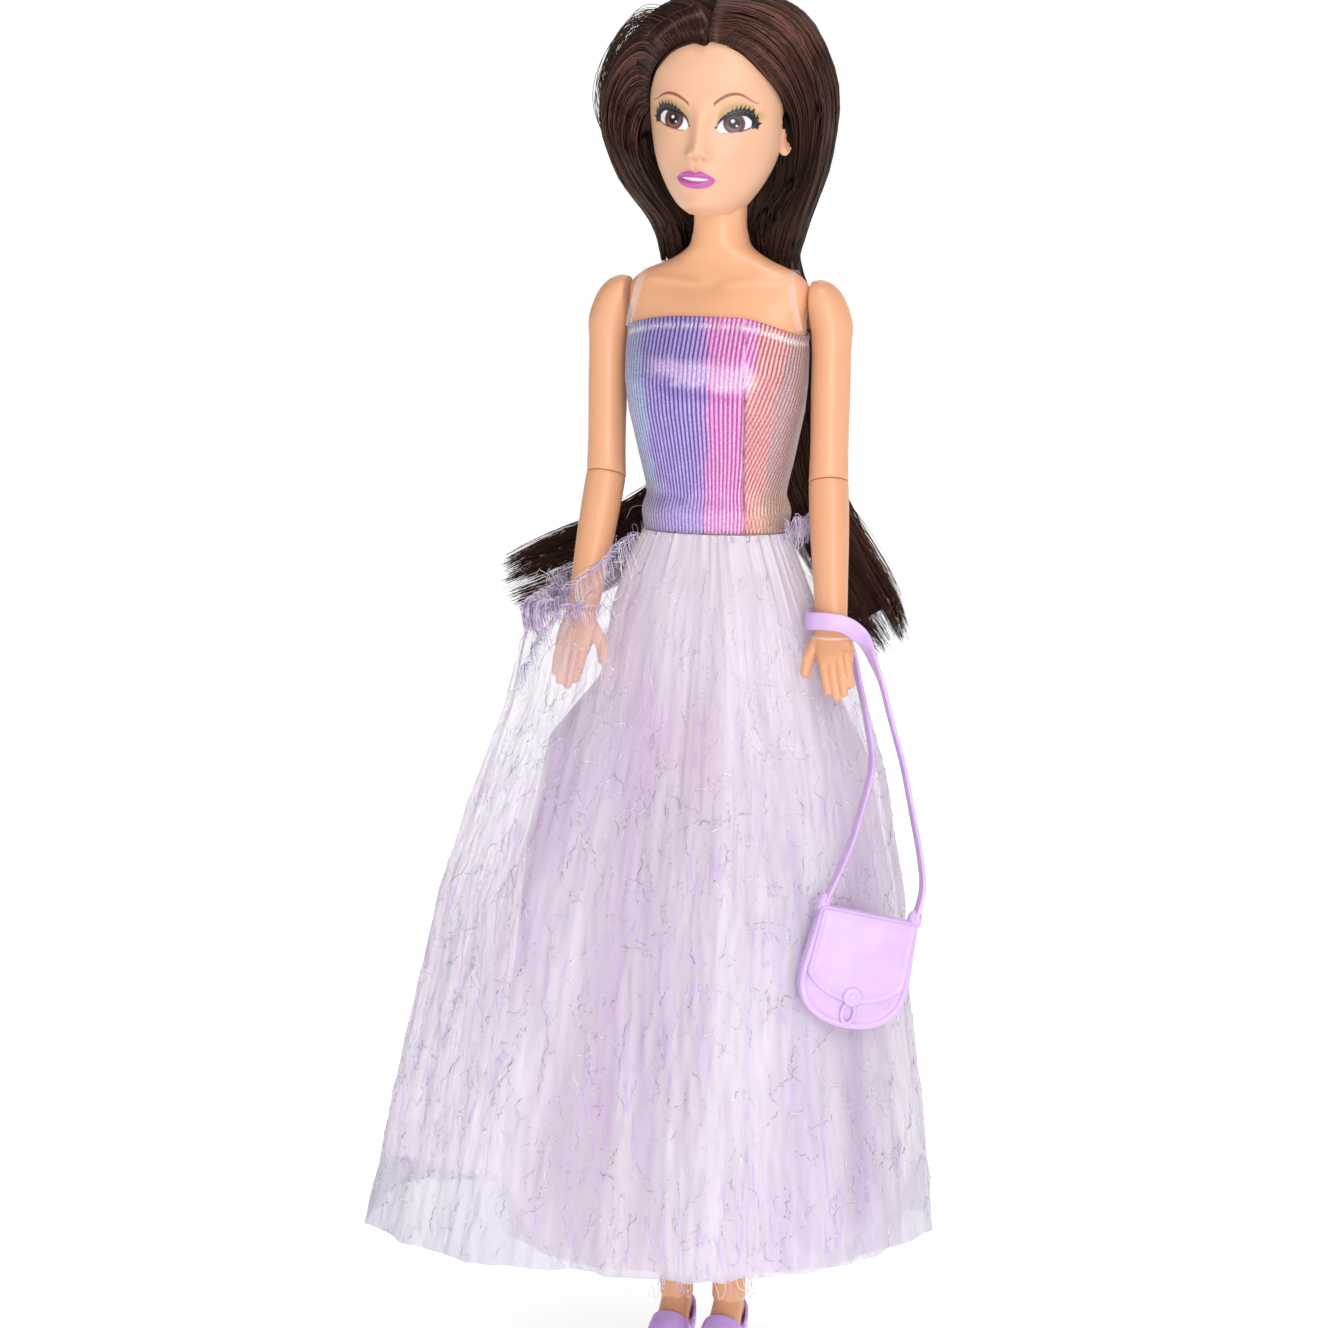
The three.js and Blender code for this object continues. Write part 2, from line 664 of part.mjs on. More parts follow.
function addShoe(side) {
  const label = side > 0 ? 'left' : 'right';
  const { ankle } = legPoints(side);
  const outline = new THREE.Shape();
  const heelBack = ankle.y + footLength * 0.2;
  outline.moveTo(heelBack, 0);
  outline.lineTo(heelBack - heelTipLength, 0);
  soleUnderShares.forEach(([forward, height]) => {
    outline.lineTo(ankle.y - forward * footLength, height * heelHeight);
  });
  soleTopShares.forEach(([forward, height]) => {
    outline.lineTo(ankle.y - forward * footLength, height * heelHeight + soleThickness / 4);
  });
  outline.closePath();
  const sole = new THREE.ExtrudeGeometry(outline, { depth: shoeWidth, bevelEnabled: false });
  // The outline was drawn with y across and z up; this turn stands it up along the foot.
  const stand = new THREE.Matrix4().makeBasis(point(0, 1, 0), point(0, 0, 1), point(1, 0, 0));
  sole.applyMatrix4(stand);
  sole.translate(ankle.x - shoeWidth / 2, 0, 0);
  const plan = solid(limb([
    [point(ankle.x, heelBack + clearance, heelHeight / 2), shoeWidth * 0.26, footLength],
    [point(ankle.x, heelBack - footLength * 0.1, heelHeight / 2), shoeWidth * 0.38, footLength],
    [point(ankle.x, ankle.y - footLength * 0.3, heelHeight / 2), shoeWidth * 0.37, footLength],
    [point(ankle.x, ankle.y - footLength * 0.75, heelHeight / 2), shoeWidth / 2, footLength],
    [point(ankle.x, ankle.y - footLength, heelHeight / 2), shoeWidth * 0.42, footLength],
    [point(ankle.x, ankle.y - footLength * 1.13, heelHeight / 2), shoeWidth * 0.24, footLength],
  ], limbSides, 6));
  const footRoom = footBody(side, clearance);
  const skin = footBody(side, clearance + bandThickness).subtract(footRoom);
  const instep = block(
    point(ankle.x - shoeWidth, ankle.y - footLength * 0.8, 0),
    point(ankle.x + shoeWidth, ankle.y - footLength * 0.42, ankleHeight),
  );
  const counter = block(
    point(ankle.x - shoeWidth, ankle.y, heelHeight * 0.7),
    point(ankle.x + shoeWidth, ankle.y + footLength, ankleHeight * 0.97),
  );
  const shinRoom = rod(
    point(ankle.x, ankle.y, ankleHeight * 0.9),
    point(ankle.x, ankle.y, ankleHeight + footLength),
    ankleDiameter / 2 + clearance * 2,
  );
  const upper = skin.intersect(instep.add(counter)).subtract(shinRoom);
  const floor = block(
    point(ankle.x - footLength, ankle.y - footLength * 2, -overrun),
    point(ankle.x + footLength, ankle.y + footLength, 0),
  );
  const shoe = solid(sole).intersect(plan).subtract(footRoom).add(upper).subtract(floor)
    .subtract(shinRoom);
  addPart(`shoe_${label}`, shoe, 'purple');
}

// Head: height share, half width share, front reach share and back reach share of half the depth
const headShares = [
  [0, 0.3, 0.62, 0.3],
  [0.03, 0.42, 0.8, 0.45],
  [0.09, 0.58, 0.86, 0.62],
  [0.2, 0.76, 0.9, 0.78],
  [0.33, 0.9, 0.95, 0.9],
  [0.45, 0.97, 0.94, 0.98],
  [0.58, 1, 0.9, 1],
  [0.72, 0.97, 0.87, 0.98],
  [0.84, 0.84, 0.74, 0.88],
  [0.93, 0.6, 0.5, 0.66],
  [1, 0.2, 0.16, 0.24],
];

function headBody(grown) {
  const rings = headShares.map(([share, wide, front, back], i) => {
    const up = i === 0 ? -grown : (i === headShares.length - 1 ? grown : 0);
    const half = wide * headWidth / 2 + grown;
    const ahead = front * headDepth / 2 + grown;
    const behind = back * headDepth / 2 + grown;
    const points = ring(point(0, 0, headBottom + share * headHeight + up), xAxis, yAxis, half, 1,
      bodySides, 2.1);
    points.forEach((p) => { p.y *= p.y < 0 ? ahead : behind; });
    return points;
  });
  const body = bodyThroughRings(rings);
  body.rotateZ(headYaw);
  return solid(body);
}

const neckAxis = point(0, neckMiddle.y, 0);

function addHead() {
  const neckHole = rod(
    raised(neckAxis, headBottom - overrun),
    raised(neckAxis, headBottom + headHeight / 3),
    knobStemDiameter / 2 + clearance,
  );
  const neckRoom = rod(
    raised(neckAxis, headBottom - overrun),
    raised(neckAxis, neckTop + clearance),
    neckDiameter / 2 + clearance * 3,
  );
  const shell = headBody(0).subtract(headBody(-headWall)).subtract(neckHole).subtract(neckRoom);
  const knobRoom = rod(
    raised(neckAxis, neckTop + knobHeight * 0.5 - clearance),
    raised(neckAxis, headBottom + headHeight / 2),
    knobDiameter / 2 + clearance * 2,
  );
  addPart('head_shell', shell.subtract(knobRoom), 'skin');
}

// Hair on the head: height share of the hair, half width share, front share and back share
const crownShares = [
  [0, 0.62, 0.1, 0.84],
  [0.08, 0.72, 0.2, 0.94],
  [0.25, 0.88, 0.6, 1],
  [0.45, 1, 0.85, 1],
  [0.62, 0.99, 0.95, 0.97],
  [0.78, 0.87, 0.94, 0.87],
  [0.9, 0.65, 0.78, 0.68],
  [0.97, 0.38, 0.5, 0.4],
  [1, 0.12, 0.2, 0.12],
];
const hairBack = headDepth * 0.17;
const hairTop = headBottom + headHeight + hairWidth * 0.06;
// The hairline lies on a sloping cut: y at the nape side and y at the forehead
const hairlineLow = -headDepth * 0.02;
const hairlineHigh = -headDepth * 0.47;

function addHairCrown() {
  const rings = crownShares.map(([share, wide, front, back]) => {
    const height = hairTop - hairHeight + share * hairHeight;
    const points = ring(point(0, hairBack, height), xAxis, yAxis, wide * hairWidth / 2, 1,
      bodySides, 2.1);
    points.forEach((p) => {
      p.y = hairBack + (p.y - hairBack) * (p.y < hairBack ? front : back) * hairDepth / 2;
    });
    return points;
  });
  const mass = bodyThroughRings(rings);
  mass.rotateZ(headYaw);
  const outline = new THREE.Shape();
  outline.moveTo(hairlineLow, headBottom - headHeight);
  outline.lineTo(hairlineLow, headBottom + headHeight * 0.22);
  outline.lineTo(hairlineHigh, headBottom + headHeight * 0.83);
  outline.lineTo(hairlineHigh * 1.3, headBottom + headHeight * 0.86);
  outline.lineTo(-headDepth * 2, headBottom + headHeight * 0.86);
  outline.lineTo(-headDepth * 2, headBottom - headHeight);
  outline.closePath();
  const face = new THREE.ExtrudeGeometry(outline, { depth: hairWidth * 2, bevelEnabled: false });
  const stand = new THREE.Matrix4().makeBasis(point(0, 1, 0), point(0, 0, 1), point(1, 0, 0));
  face.applyMatrix4(stand);
  face.translate(-hairWidth, 0, 0);
  face.rotateZ(headYaw);
  const neckRoom = rod(
    raised(neckAxis, headBottom - headHeight),
    raised(neckAxis, headBottom + headHeight / 2),
    neckDiameter / 2 + clearance * 4,
  );
  addPart('hair_crown', solid(mass).subtract(headBody(clearance)).subtract(solid(face))
    .subtract(neckRoom), 'hair');
}

// Long hair down the back: drop share, sideways share and back share, then half sizes as shares
const fallRightShares = [
  [0, -0.06, 0, 0.5, 0.4],
  [0.25, -0.1, 0.1, 0.44, 0.5],
  [0.5, -0.16, 0.05, 0.4, 0.5],
  [0.7, -0.36, 0, 0.36, 0.5],
  [0.81, -0.74, 0.05, 0.31, 0.42],
  [0.88, -1.16, 0.05, 0.26, 0.34],
  [0.94, -1.56, 0.05, 0.25, 0.26],
  [0.98, -1.96, 0, 0.2, 0.14],
];
const fallLeftShares = [
  [0, 0.2, 0, 0.42, 0.4],
  [0.25, 0.32, 0.1, 0.42, 0.5],
  [0.5, 0.42, 0.05, 0.38, 0.5],
  [0.7, 0.6, 0, 0.33, 0.48],
  [0.85, 0.86, 0.05, 0.3, 0.4],
  [1, 1.14, 0.05, 0.24, 0.28],
  [1.13, 1.36, 0, 0.12, 0.14],
];
const fallTop = hairTop - hairHeight - clearance;

function fallBody(shares) {
  const back = bustDepth / 2 + hairFallThickness / 2 + clothThickness * 3;
  return solid(limb(shares.map(([drop, aside, behind, wide, deep]) => [
    point(aside * hairFallWidth, back + behind * hairFallThickness, fallTop - drop * hairFallLength),
    wide * hairFallWidth,
    deep * hairFallThickness,
  ]), limbSides, 2.3));
}

function addHairFall() {
  const level = block(
    point(-hairWidth, -hairDepth, fallTop),
    point(hairWidth, hairDepth * 2, fallTop + hairHeight),
  );
  addPart('hair_fall', fallBody(fallRightShares).add(fallBody(fallLeftShares)).subtract(level),
    'hair');
}

// Bodice: a sleeve round the torso, open down the back under a closure tape.
function sleeve(bottom, top, inner, outer) {
  const between = torsoRows.map(([share]) => torsoBottom + share * torsoHeight)
    .filter((height) => height > bottom && height < top - bodiceSideDip);
  // The top edge dips under the arms.
  const topRing = (grown) => torsoRing(top, grown).map((p, k) => {
    const aside = Math.min(1, Math.abs(p.x) * 2 / shoulderWidth);
    return torsoRing(top - bodiceSideDip * aside ** 3, grown)[k];
  });
  const wall = (grown) => (
    [...[bottom, ...between].map((height) => torsoRing(height, grown)), topRing(grown)]);
  return solid(bodyThroughRings([...wall(outer), ...wall(inner).reverse()], true));
}

function addBodice() {
  const tube = sleeve(waistline, bodiceTop, clearance, clearance + clothThickness);
  const slit = block(
    point(-clearance / 2, 0, waistline - overrun),
    point(clearance / 2, bustDepth, bodiceTop + overrun),
  );
  addPart('bodice', tube.subtract(slit), 'metallicKnit');
  const tapeInner = clearance * 2 + clothThickness;
  const tape = sleeve(waistline + clearance, bodiceTop - clearance, tapeInner,
    tapeInner + clothThickness);
  const strip = block(
    point(-closureWidth / 2, 0, waistline - overrun),
    point(closureWidth / 2, bustDepth, bodiceTop + overrun),
  );
  addPart('closure_tape', tape.intersect(strip), 'tape');
}

// Clear straps lie on the shoulders, from the bodice's front edge to its back edge.
function addShoulderStrap(side) {
  const label = side > 0 ? 'left' : 'right';
  const middle = side * shoulderWidth * 0.44;
  const slab = block(
    point(middle - strapWidth / 2, -bustDepth, bodiceTop + clearance),
    point(middle + strapWidth / 2, bustDepth, neckTop),
  );
  const strap = torsoBody(clearance + strapThickness).subtract(torsoBody(clearance))
    .intersect(slab);
  addPart(`shoulder_strap_${label}`, strap, 'clear');
}

// The gown: height share from the waist down, then reaches as shares: left, right, front, back.
const liningShares = [
  [0, 0.372, 0.372, 0.345, 0.345],
  [0.05, 0.45, 0.47, 0.39, 0.38],
  [0.11, 0.54, 0.54, 0.44, 0.43],
  [0.21, 0.63, 0.6, 0.56, 0.5],
  [0.3, 0.79, 0.86, 0.7, 0.57],
  [0.45, 0.9, 0.98, 0.88, 0.66],
  [0.68, 0.98, 1.05, 1.04, 0.74],
  [0.85, 1, 1.07, 1.12, 0.76],
  [1, 1, 1.07, 1.17, 0.76],
];
const overlayShares = [
  [0, 0.29, 0.29, 0.315, 0.315],
  [0.05, 0.35, 0.44, 0.345, 0.35],
  [0.1, 0.41, 0.61, 0.42, 0.4],
  [0.16, 0.49, 0.68, 0.5, 0.44],
  [0.24, 0.56, 0.72, 0.56, 0.5],
  [0.34, 0.64, 0.8, 0.68, 0.57],
  [0.5, 0.71, 0.92, 0.82, 0.66],
  [0.68, 0.74, 1.0, 0.93, 0.74],
  [0.85, 0.79, 1.09, 1.0, 0.78],
  [1, 0.83, 1.16, 1.05, 0.8],
];

function sharesAt(table, share) {
  let i = 0;
  while (i < table.length - 2 && table[i + 1][0] < share) i += 1;
  const t = (share - table[i][0]) / (table[i + 1][0] - table[i][0]);
  return table[i].map((value, k) => THREE.MathUtils.lerp(value, table[i + 1][k], t));
}

// One point of the cloth. The quarter in front of the right hand is fuller than the others.
function clothPoint(table, side, depth, share, angle, inset) {
  const [, left, right, front, back] = sharesAt(table, share);
  const c = Math.cos(angle);
  const s = Math.sin(angle);
  const power = c < 0 && s < 0 && table === overlayShares ? 4.4 : 2.1;
  const across = Math.sign(c) * Math.abs(c) ** (2 / power);
  const along = Math.sign(s) * Math.abs(s) ** (2 / power);
  const ripple = Math.cos(foldCount * angle + 1) * 0.6 + Math.cos((foldCount + 4) * angle) * 0.4;
  const fold = foldDepth * Math.min(1, share * 3) * (ripple - 1) - inset;
  const reachX = (c > 0 ? left : right) * side + fold;
  const reachY = (s > 0 ? back : front) * depth / 2 + fold;
  // The hem hangs lowest in front and behind, and rises towards the sides.
  const rise = hemRise * c * c * share ** 4;
  return point(across * reachX, along * reachY, waistline - clearance - share * gownDrop + rise);
}

function clothBody(table, side, depth, topShare) {
  const rings = [];
  const wall = [0, clothThickness];
  wall.forEach((inset, pass) => {
    for (let i = 0; i <= gownLevels; i += 1) {
      const level = pass === 0 ? i : gownLevels - i;
      const points = [];
      for (let k = 0; k < gownSides; k += 1) {
        const angle = (k / gownSides) * Math.PI * 2;
        const start = topShare(angle);
        const share = start + (1 - start) * (level / gownLevels) ** 1.25;
        points.push(clothPoint(table, side, depth, share, angle, inset));
      }
      rings.push(points);
    }
  });
  return solid(bodyThroughRings(rings, true));
}

function addGown() {
  addPart('skirt_lining', clothBody(liningShares, gownSide, gownDepth, () => 0), 'satin');
  // The slit in the overlay on the right side, where the forearm goes in.
  const pocketDrop = waistline - armPoints(-1).wrist.z + pocketBelowWrist;
  const slitMiddle = Math.PI * 1.04;
  const slitHalf = Math.PI * 0.22;
  const slitRamp = Math.PI * 0.06;
  const topShare = (angle) => {
    const away = Math.abs(angle - slitMiddle);
    const open = THREE.MathUtils.clamp((slitHalf + slitRamp - away) / slitRamp, 0, 1);
    return open * pocketDrop / gownDrop;
  };
  addPart('skirt_overlay', clothBody(overlayShares, overlayReach, overlayDepth, topShare),
    'tulle');
}

// Bag: drawn flat, then turned to lie along the skirt and rolled as it hangs.
const bagFrame = new THREE.Matrix4();
const { wrist: leftWrist, handLine: leftHandLine } = armPoints(1);
const bagMiddle = point(
  leftWrist.x + bagWidth * 0.46,
  leftWrist.y - bagWidth * 0.72,
  leftWrist.z - bagDrop,
);
bagFrame.makeRotationZ(bagTurn);
bagFrame.multiply(new THREE.Matrix4().makeRotationX(Math.PI / 2));
bagFrame.multiply(new THREE.Matrix4().makeRotationZ(bagRoll));
bagFrame.setPosition(bagMiddle);

// Bag outline: straight top and sides, round bottom.
function bagShape(inset) {
  const half = bagWidth / 2 - inset;
  const top = bagHeight / 2 - inset;
  const shoulder = -bagHeight * 0.08;
  const shape = new THREE.Shape();
  shape.moveTo(-half * 0.9, top);
  shape.lineTo(-half, shoulder);
  shape.bezierCurveTo(-half, -top * 0.8, -half * 0.5, -top, 0, -top);
  shape.bezierCurveTo(half * 0.5, -top, half, -top * 0.8, half, shoulder);
  shape.lineTo(half * 0.9, top);
  shape.closePath();
  return shape;
}

function plate(shape, depth, from) {
  const geometry = new THREE.ExtrudeGeometry(shape, { depth, bevelEnabled: false, curveSegments: 6 });
  geometry.translate(0, 0, from);
  return solid(geometry);
}

function addBag() {
  const flap = new THREE.Shape();
  const flapSide = bagWidth * 0.45;
  const flapTop = bagHeight / 2 - bagRimWidth / 2;
  const flapLow = -bagHeight * 0.2;
  flap.moveTo(-flapSide * 0.96, flapTop);
  flap.lineTo(-flapSide, flapLow * 0.4);
  flap.bezierCurveTo(-flapSide * 0.8, flapLow, -flapSide * 0.4, flapLow * 1.4, 0, flapLow * 1.4);
  flap.bezierCurveTo(flapSide * 0.4, flapLow * 1.4, flapSide * 0.8, flapLow, flapSide, flapLow * 0.4);
  flap.lineTo(flapSide * 0.96, flapTop);
  flap.closePath();
  const face = bagThickness / 2;
  const overlap = reliefHeight / 2;
  const tab = new THREE.Shape();
  tab.absellipse(0, flapLow * 1.1, bagWidth * 0.09, bagHeight * 0.085, 0, Math.PI * 2);
  const loop = new THREE.Shape();
  loop.absellipse(0, flapLow * 1.85, bagWidth * 0.075, bagHeight * 0.11, 0, Math.PI * 2);
  const body = plate(bagShape(0), bagThickness, -face)
    .add(plate(flap, reliefHeight + overlap, face - overlap))
    .add(plate(tab, reliefHeight * 2 + overlap, face - overlap))
    .add(plate(loop, reliefHeight + overlap, face - overlap))
    .subtract(plate(bagShape(bagRimWidth), reliefHeight, -face - reliefHeight / 2));
  const placed = geometryOf(body);
  placed.applyMatrix4(bagFrame);
  addPart('bag_body', solid(placed), 'lilac');
}

// Strap route from the bag's left corner, round the wrist, to its right corner: sideways and forward
// as shares of the bag's width and up as shares of the bag's drop, from the wrist, then the turn of
// the ribbon from upright (0) to edge on (1).
const strapRouteShares = [
  [0.28, -0.76, -0.73, 1],
  [0.36, -0.54, -0.63, 1],
  [0.4, -0.4, -0.55, 1],
  [0.44, -0.19, -0.42, 1],
  [0.34, 0, -0.3, 1],
  [0.23, 0.14, -0.2, 0.8],
  [0.12, 0.24, -0.1, 0.5],
  [-0.03, 0.28, -0.03, 0.2],
  [-0.17, 0.19, -0.01, 0],
  [-0.215, 0, -0.005, 0],
  [-0.16, -0.17, -0.005, 0],
  [0.02, -0.26, 0, 0],
  [0.19, -0.22, -0.01, 0],
  [0.33, -0.15, -0.05, 0.3],
  [0.42, -0.1, -0.12, 0.6],
  [0.49, -0.08, -0.18, 0.9],
  [0.58, -0.1, -0.28, 1],
  [0.72, -0.16, -0.42, 1],
  [0.84, -0.24, -0.57, 1],
  [0.93, -0.34, -0.67, 1],
  [0.98, -0.42, -0.77, 1],
];

function addBagStrap() {
  const corner = (side) => point(side * bagWidth * 0.42, bagHeight / 2 + clearance * 2, 0)
    .applyMatrix4(bagFrame);
  const route = strapRouteShares.map(([aside, ahead, up]) => point(
    leftWrist.x + aside * bagWidth, leftWrist.y + ahead * bagWidth, leftWrist.z + up * bagDrop,
  ));
  const points = [corner(-1), ...route, corner(1)];
  const turns = [1, ...strapRouteShares.map((row) => row[3]), 1];
  const curve = new THREE.CatmullRomCurve3(points, false, 'centripetal');
  const outward = point(Math.sin(bagTurn), -Math.cos(bagTurn), 0);
  const rings = [];
  for (let i = 0; i <= strapSteps; i += 1) {
    const t = i / strapSteps;
    const at = curve.getPoint(t);
    const along = curve.getTangent(t);
    const k = Math.min(Math.floor(t * (turns.length - 1)), turns.length - 2);
    const turn = THREE.MathUtils.lerp(turns[k], turns[k + 1], t * (turns.length - 1) - k);
    const broad = point(0, 0, 1).lerp(outward, turn);
    broad.addScaledVector(along, -broad.dot(along)).normalize();
    const thin = along.clone().cross(broad).normalize();
    rings.push(ring(at, broad, thin, bagStrapWidth / 2, bagStrapThickness / 2, fingerSides, 4));
  }
  addPart('bag_strap', solid(bodyThroughRings(rings)), 'lilac');
}

// The clear elastic loop that keeps the strap on the wrist.
function addWristLoop() {
  const middle = leftWrist.clone().addScaledVector(leftHandLine, palmThickness * 1.1);
  const radius = wristDiameter / 2 + palmThickness * 0.22 + clearance + bandWireDiameter / 2;
  const loop = new THREE.TorusGeometry(radius, bandWireDiameter / 2, fingerSides, limbSides);
  loop.translate(middle.x, middle.y, middle.z);
  addPart('wrist_loop', solid(loop), 'clear');
}

addTorso();
addHead();
addHairCrown();
addHairFall();
addBodice();
addGown();
[1, -1].forEach((side) => {
  addArm(side);
  addLeg(side);
  addShoe(side);
  addShoulderStrap(side);
});
addBag();
addBagStrap();
addWristLoop();

// The origin is the middle of the doll's outline on the floor.
const outlineBox = new THREE.Box3().setFromObject(doll);
const outlineMiddle = outlineBox.getCenter(new THREE.Vector3());
doll.position.set(-outlineMiddle.x, -outlineMiddle.y, -outlineBox.min.z);

export default doll;
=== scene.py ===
import json
import math
import bpy
import numpy as np
from mathutils import Matrix, Vector


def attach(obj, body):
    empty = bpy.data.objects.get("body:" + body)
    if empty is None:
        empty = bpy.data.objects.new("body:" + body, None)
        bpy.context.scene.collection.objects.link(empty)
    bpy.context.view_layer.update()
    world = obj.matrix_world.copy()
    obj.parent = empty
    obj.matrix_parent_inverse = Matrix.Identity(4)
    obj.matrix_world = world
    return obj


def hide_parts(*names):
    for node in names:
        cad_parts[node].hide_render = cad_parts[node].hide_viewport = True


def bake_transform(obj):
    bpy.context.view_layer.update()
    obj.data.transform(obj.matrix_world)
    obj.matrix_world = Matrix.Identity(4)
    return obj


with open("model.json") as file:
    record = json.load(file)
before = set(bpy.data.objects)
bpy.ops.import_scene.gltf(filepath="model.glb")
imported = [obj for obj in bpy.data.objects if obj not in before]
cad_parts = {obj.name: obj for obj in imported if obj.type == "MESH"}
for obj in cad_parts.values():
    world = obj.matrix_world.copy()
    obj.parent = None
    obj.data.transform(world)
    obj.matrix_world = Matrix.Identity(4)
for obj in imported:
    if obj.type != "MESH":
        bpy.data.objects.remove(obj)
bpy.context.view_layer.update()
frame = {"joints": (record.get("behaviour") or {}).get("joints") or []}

# A dressed fashion doll. Shapes are worked out in millimetres with the doll's middle at x = 0:
# it faces -Y, its own left hand is on +X, and the soles stand at z = 0.
jointAt = {j["name"]: np.array(j["pos_m"]) for j in frame["joints"]}
origin = (jointAt["left_hip"] + jointAt["right_hip"]) / 2 * np.array([1, 1, 0])
mm = 0.001
fullTurn = 2 * math.pi
sideName = {1: "left", -1: "right"}  # the doll's own sides


def toFrame(points):  # body millimetres to the shared frame's metres
    return np.asarray(points, float) * mm + origin


# Three squares less two cubes of the share of the way from low to high
def smoothStep(low, high, x):
    t = np.clip((x - low) / (high - low), 0, 1)
    return t * t * (3 - 2 * t)


def bump(x, middle, width):  # a bell of height 1
    return np.exp(-((x - middle) / width) ** 2)


def ringAngles(count):  # even steps once round
    return np.arange(count) / count * fullTurn


# A sine's power that keeps its sign: under 1 it squares a circle off
def squared(wave, power):
    return np.sign(wave) * np.abs(wave) ** power


def unit(v):  # each vector divided by its own length
    return v / np.maximum(np.linalg.norm(v, axis=-1, keepdims=True), 1e-12)


# Reads a table whose first column rises, joined by a cubic that keeps each row's mean slope.
def readTable(table, x):
    table = np.asarray(table, float)
    xs, ys = table[:, 0], table[:, 1:]
    x = np.clip(np.asarray(x, float), xs[0], xs[-1])
    slopes = np.gradient(ys, xs, axis=0)
    i = np.clip(np.searchsorted(xs, x, side="right") - 1, 0, len(xs) - 2)
    h = (xs[i + 1] - xs[i])[..., None]
    t = ((x - xs[i])[..., None]) / h
    a, b, c, d = 2 * t**3 - 3 * t**2 + 1, t**3 - 2 * t**2 + t, 3 * t**2 - 2 * t**3, t**3 - t**2
    return a * ys[i] + b * h * slopes[i] + c * ys[i + 1] + d * h * slopes[i + 1]


# Heights drawn at random on a lattice and joined by smoothsteps, repeating every period cells.
def softNoise(u, v, seed, period=64):
    lattice = np.random.default_rng(seed).random((64, period)) * 2 - 1
    u, v = np.broadcast_arrays(np.asarray(u, float), np.asarray(v, float))
    iu, iv = np.floor(u).astype(int), np.floor(v).astype(int)
    fu, fv = u - iu, v - iv
    fu, fv = fu * fu * (3 - 2 * fu), fv * fv * (3 - 2 * fv)
    row = lambda k: (lattice[k % 64, iu % period] * (1 - fu)
                     + lattice[k % 64, (iu + 1) % period] * fu)
    return row(iv) * (1 - fv) + row(iv + 1) * fv


squareCorners = ((0, 0), (1, 0), (1, 1), (0, 1))


# Shells: points in body millimetres with their faces, before they become a mesh
def shell(points, quads, triangles, uvQuads, uvTriangles, paint):
    return {"points": points, "quads": quads, "triangles": triangles, "uvQuads": uvQuads,
            "uvTriangles": uvTriangles, "paint": paint}


# Turns a shell's faces outwards: the sum of each face's area times its reach from the middle is
# then above zero.
def outward(s):
    p = s["points"] - s["points"].mean(0)
    fans = [s["quads"][:, [0, 1, 2]], s["quads"][:, [0, 2, 3]], s["triangles"]]
    reach = sum(float((np.cross(p[f[:, 1]] - p[f[:, 0]], p[f[:, 2]] - p[f[:, 0]])
                       * (p[f].mean(1))).sum()) for f in fans)
    if reach < 0:
        s["quads"], s["triangles"] = s["quads"][:, ::-1], s["triangles"][:, ::-1]
        s["uvQuads"], s["uvTriangles"] = s["uvQuads"][:, ::-1], s["uvTriangles"][:, ::-1]
    return s


# A skin over rings of points: neighbours join in squares. With ends, a fan closes each end; with
# loop, the last ring joins the first.
def skin(rows, ends=False, paint=None, loop=False):
    n, m = rows.shape[:2]
    points = rows.reshape(-1, 3)
    i, j = np.meshgrid(np.arange(n if loop else n - 1), np.arange(m), indexing="ij")
    k, h = (j + 1) % m, (i + 1) % n
    quads = np.stack([i * m + j, i * m + k, h * m + k, h * m + j], -1).reshape(-1, 4)
    uv = np.stack([np.stack([j + a, i + b], -1) for a, b in squareCorners], -2).reshape(-1, 4, 2)
    uv = uv / np.array([m, n - 1])
    triangles = np.zeros((0, 3), int)
    if ends:
        first = np.arange(m)
        last = first + (n - 1) * m
        middles = [np.full(m, len(points) + e) for e in (0, 1)]
        points = np.vstack([points, points[first].mean(0), points[last].mean(0)])
        triangles = np.concatenate([
            np.stack([middles[0], np.roll(first, -1), first], -1),
            np.stack([last, np.roll(last, -1), middles[1]], -1)])
    paint = None if paint is None else paint.reshape(-1, 3)
    return outward(shell(points, quads, triangles, uv, np.full((len(triangles), 3, 2), 0.5), paint))


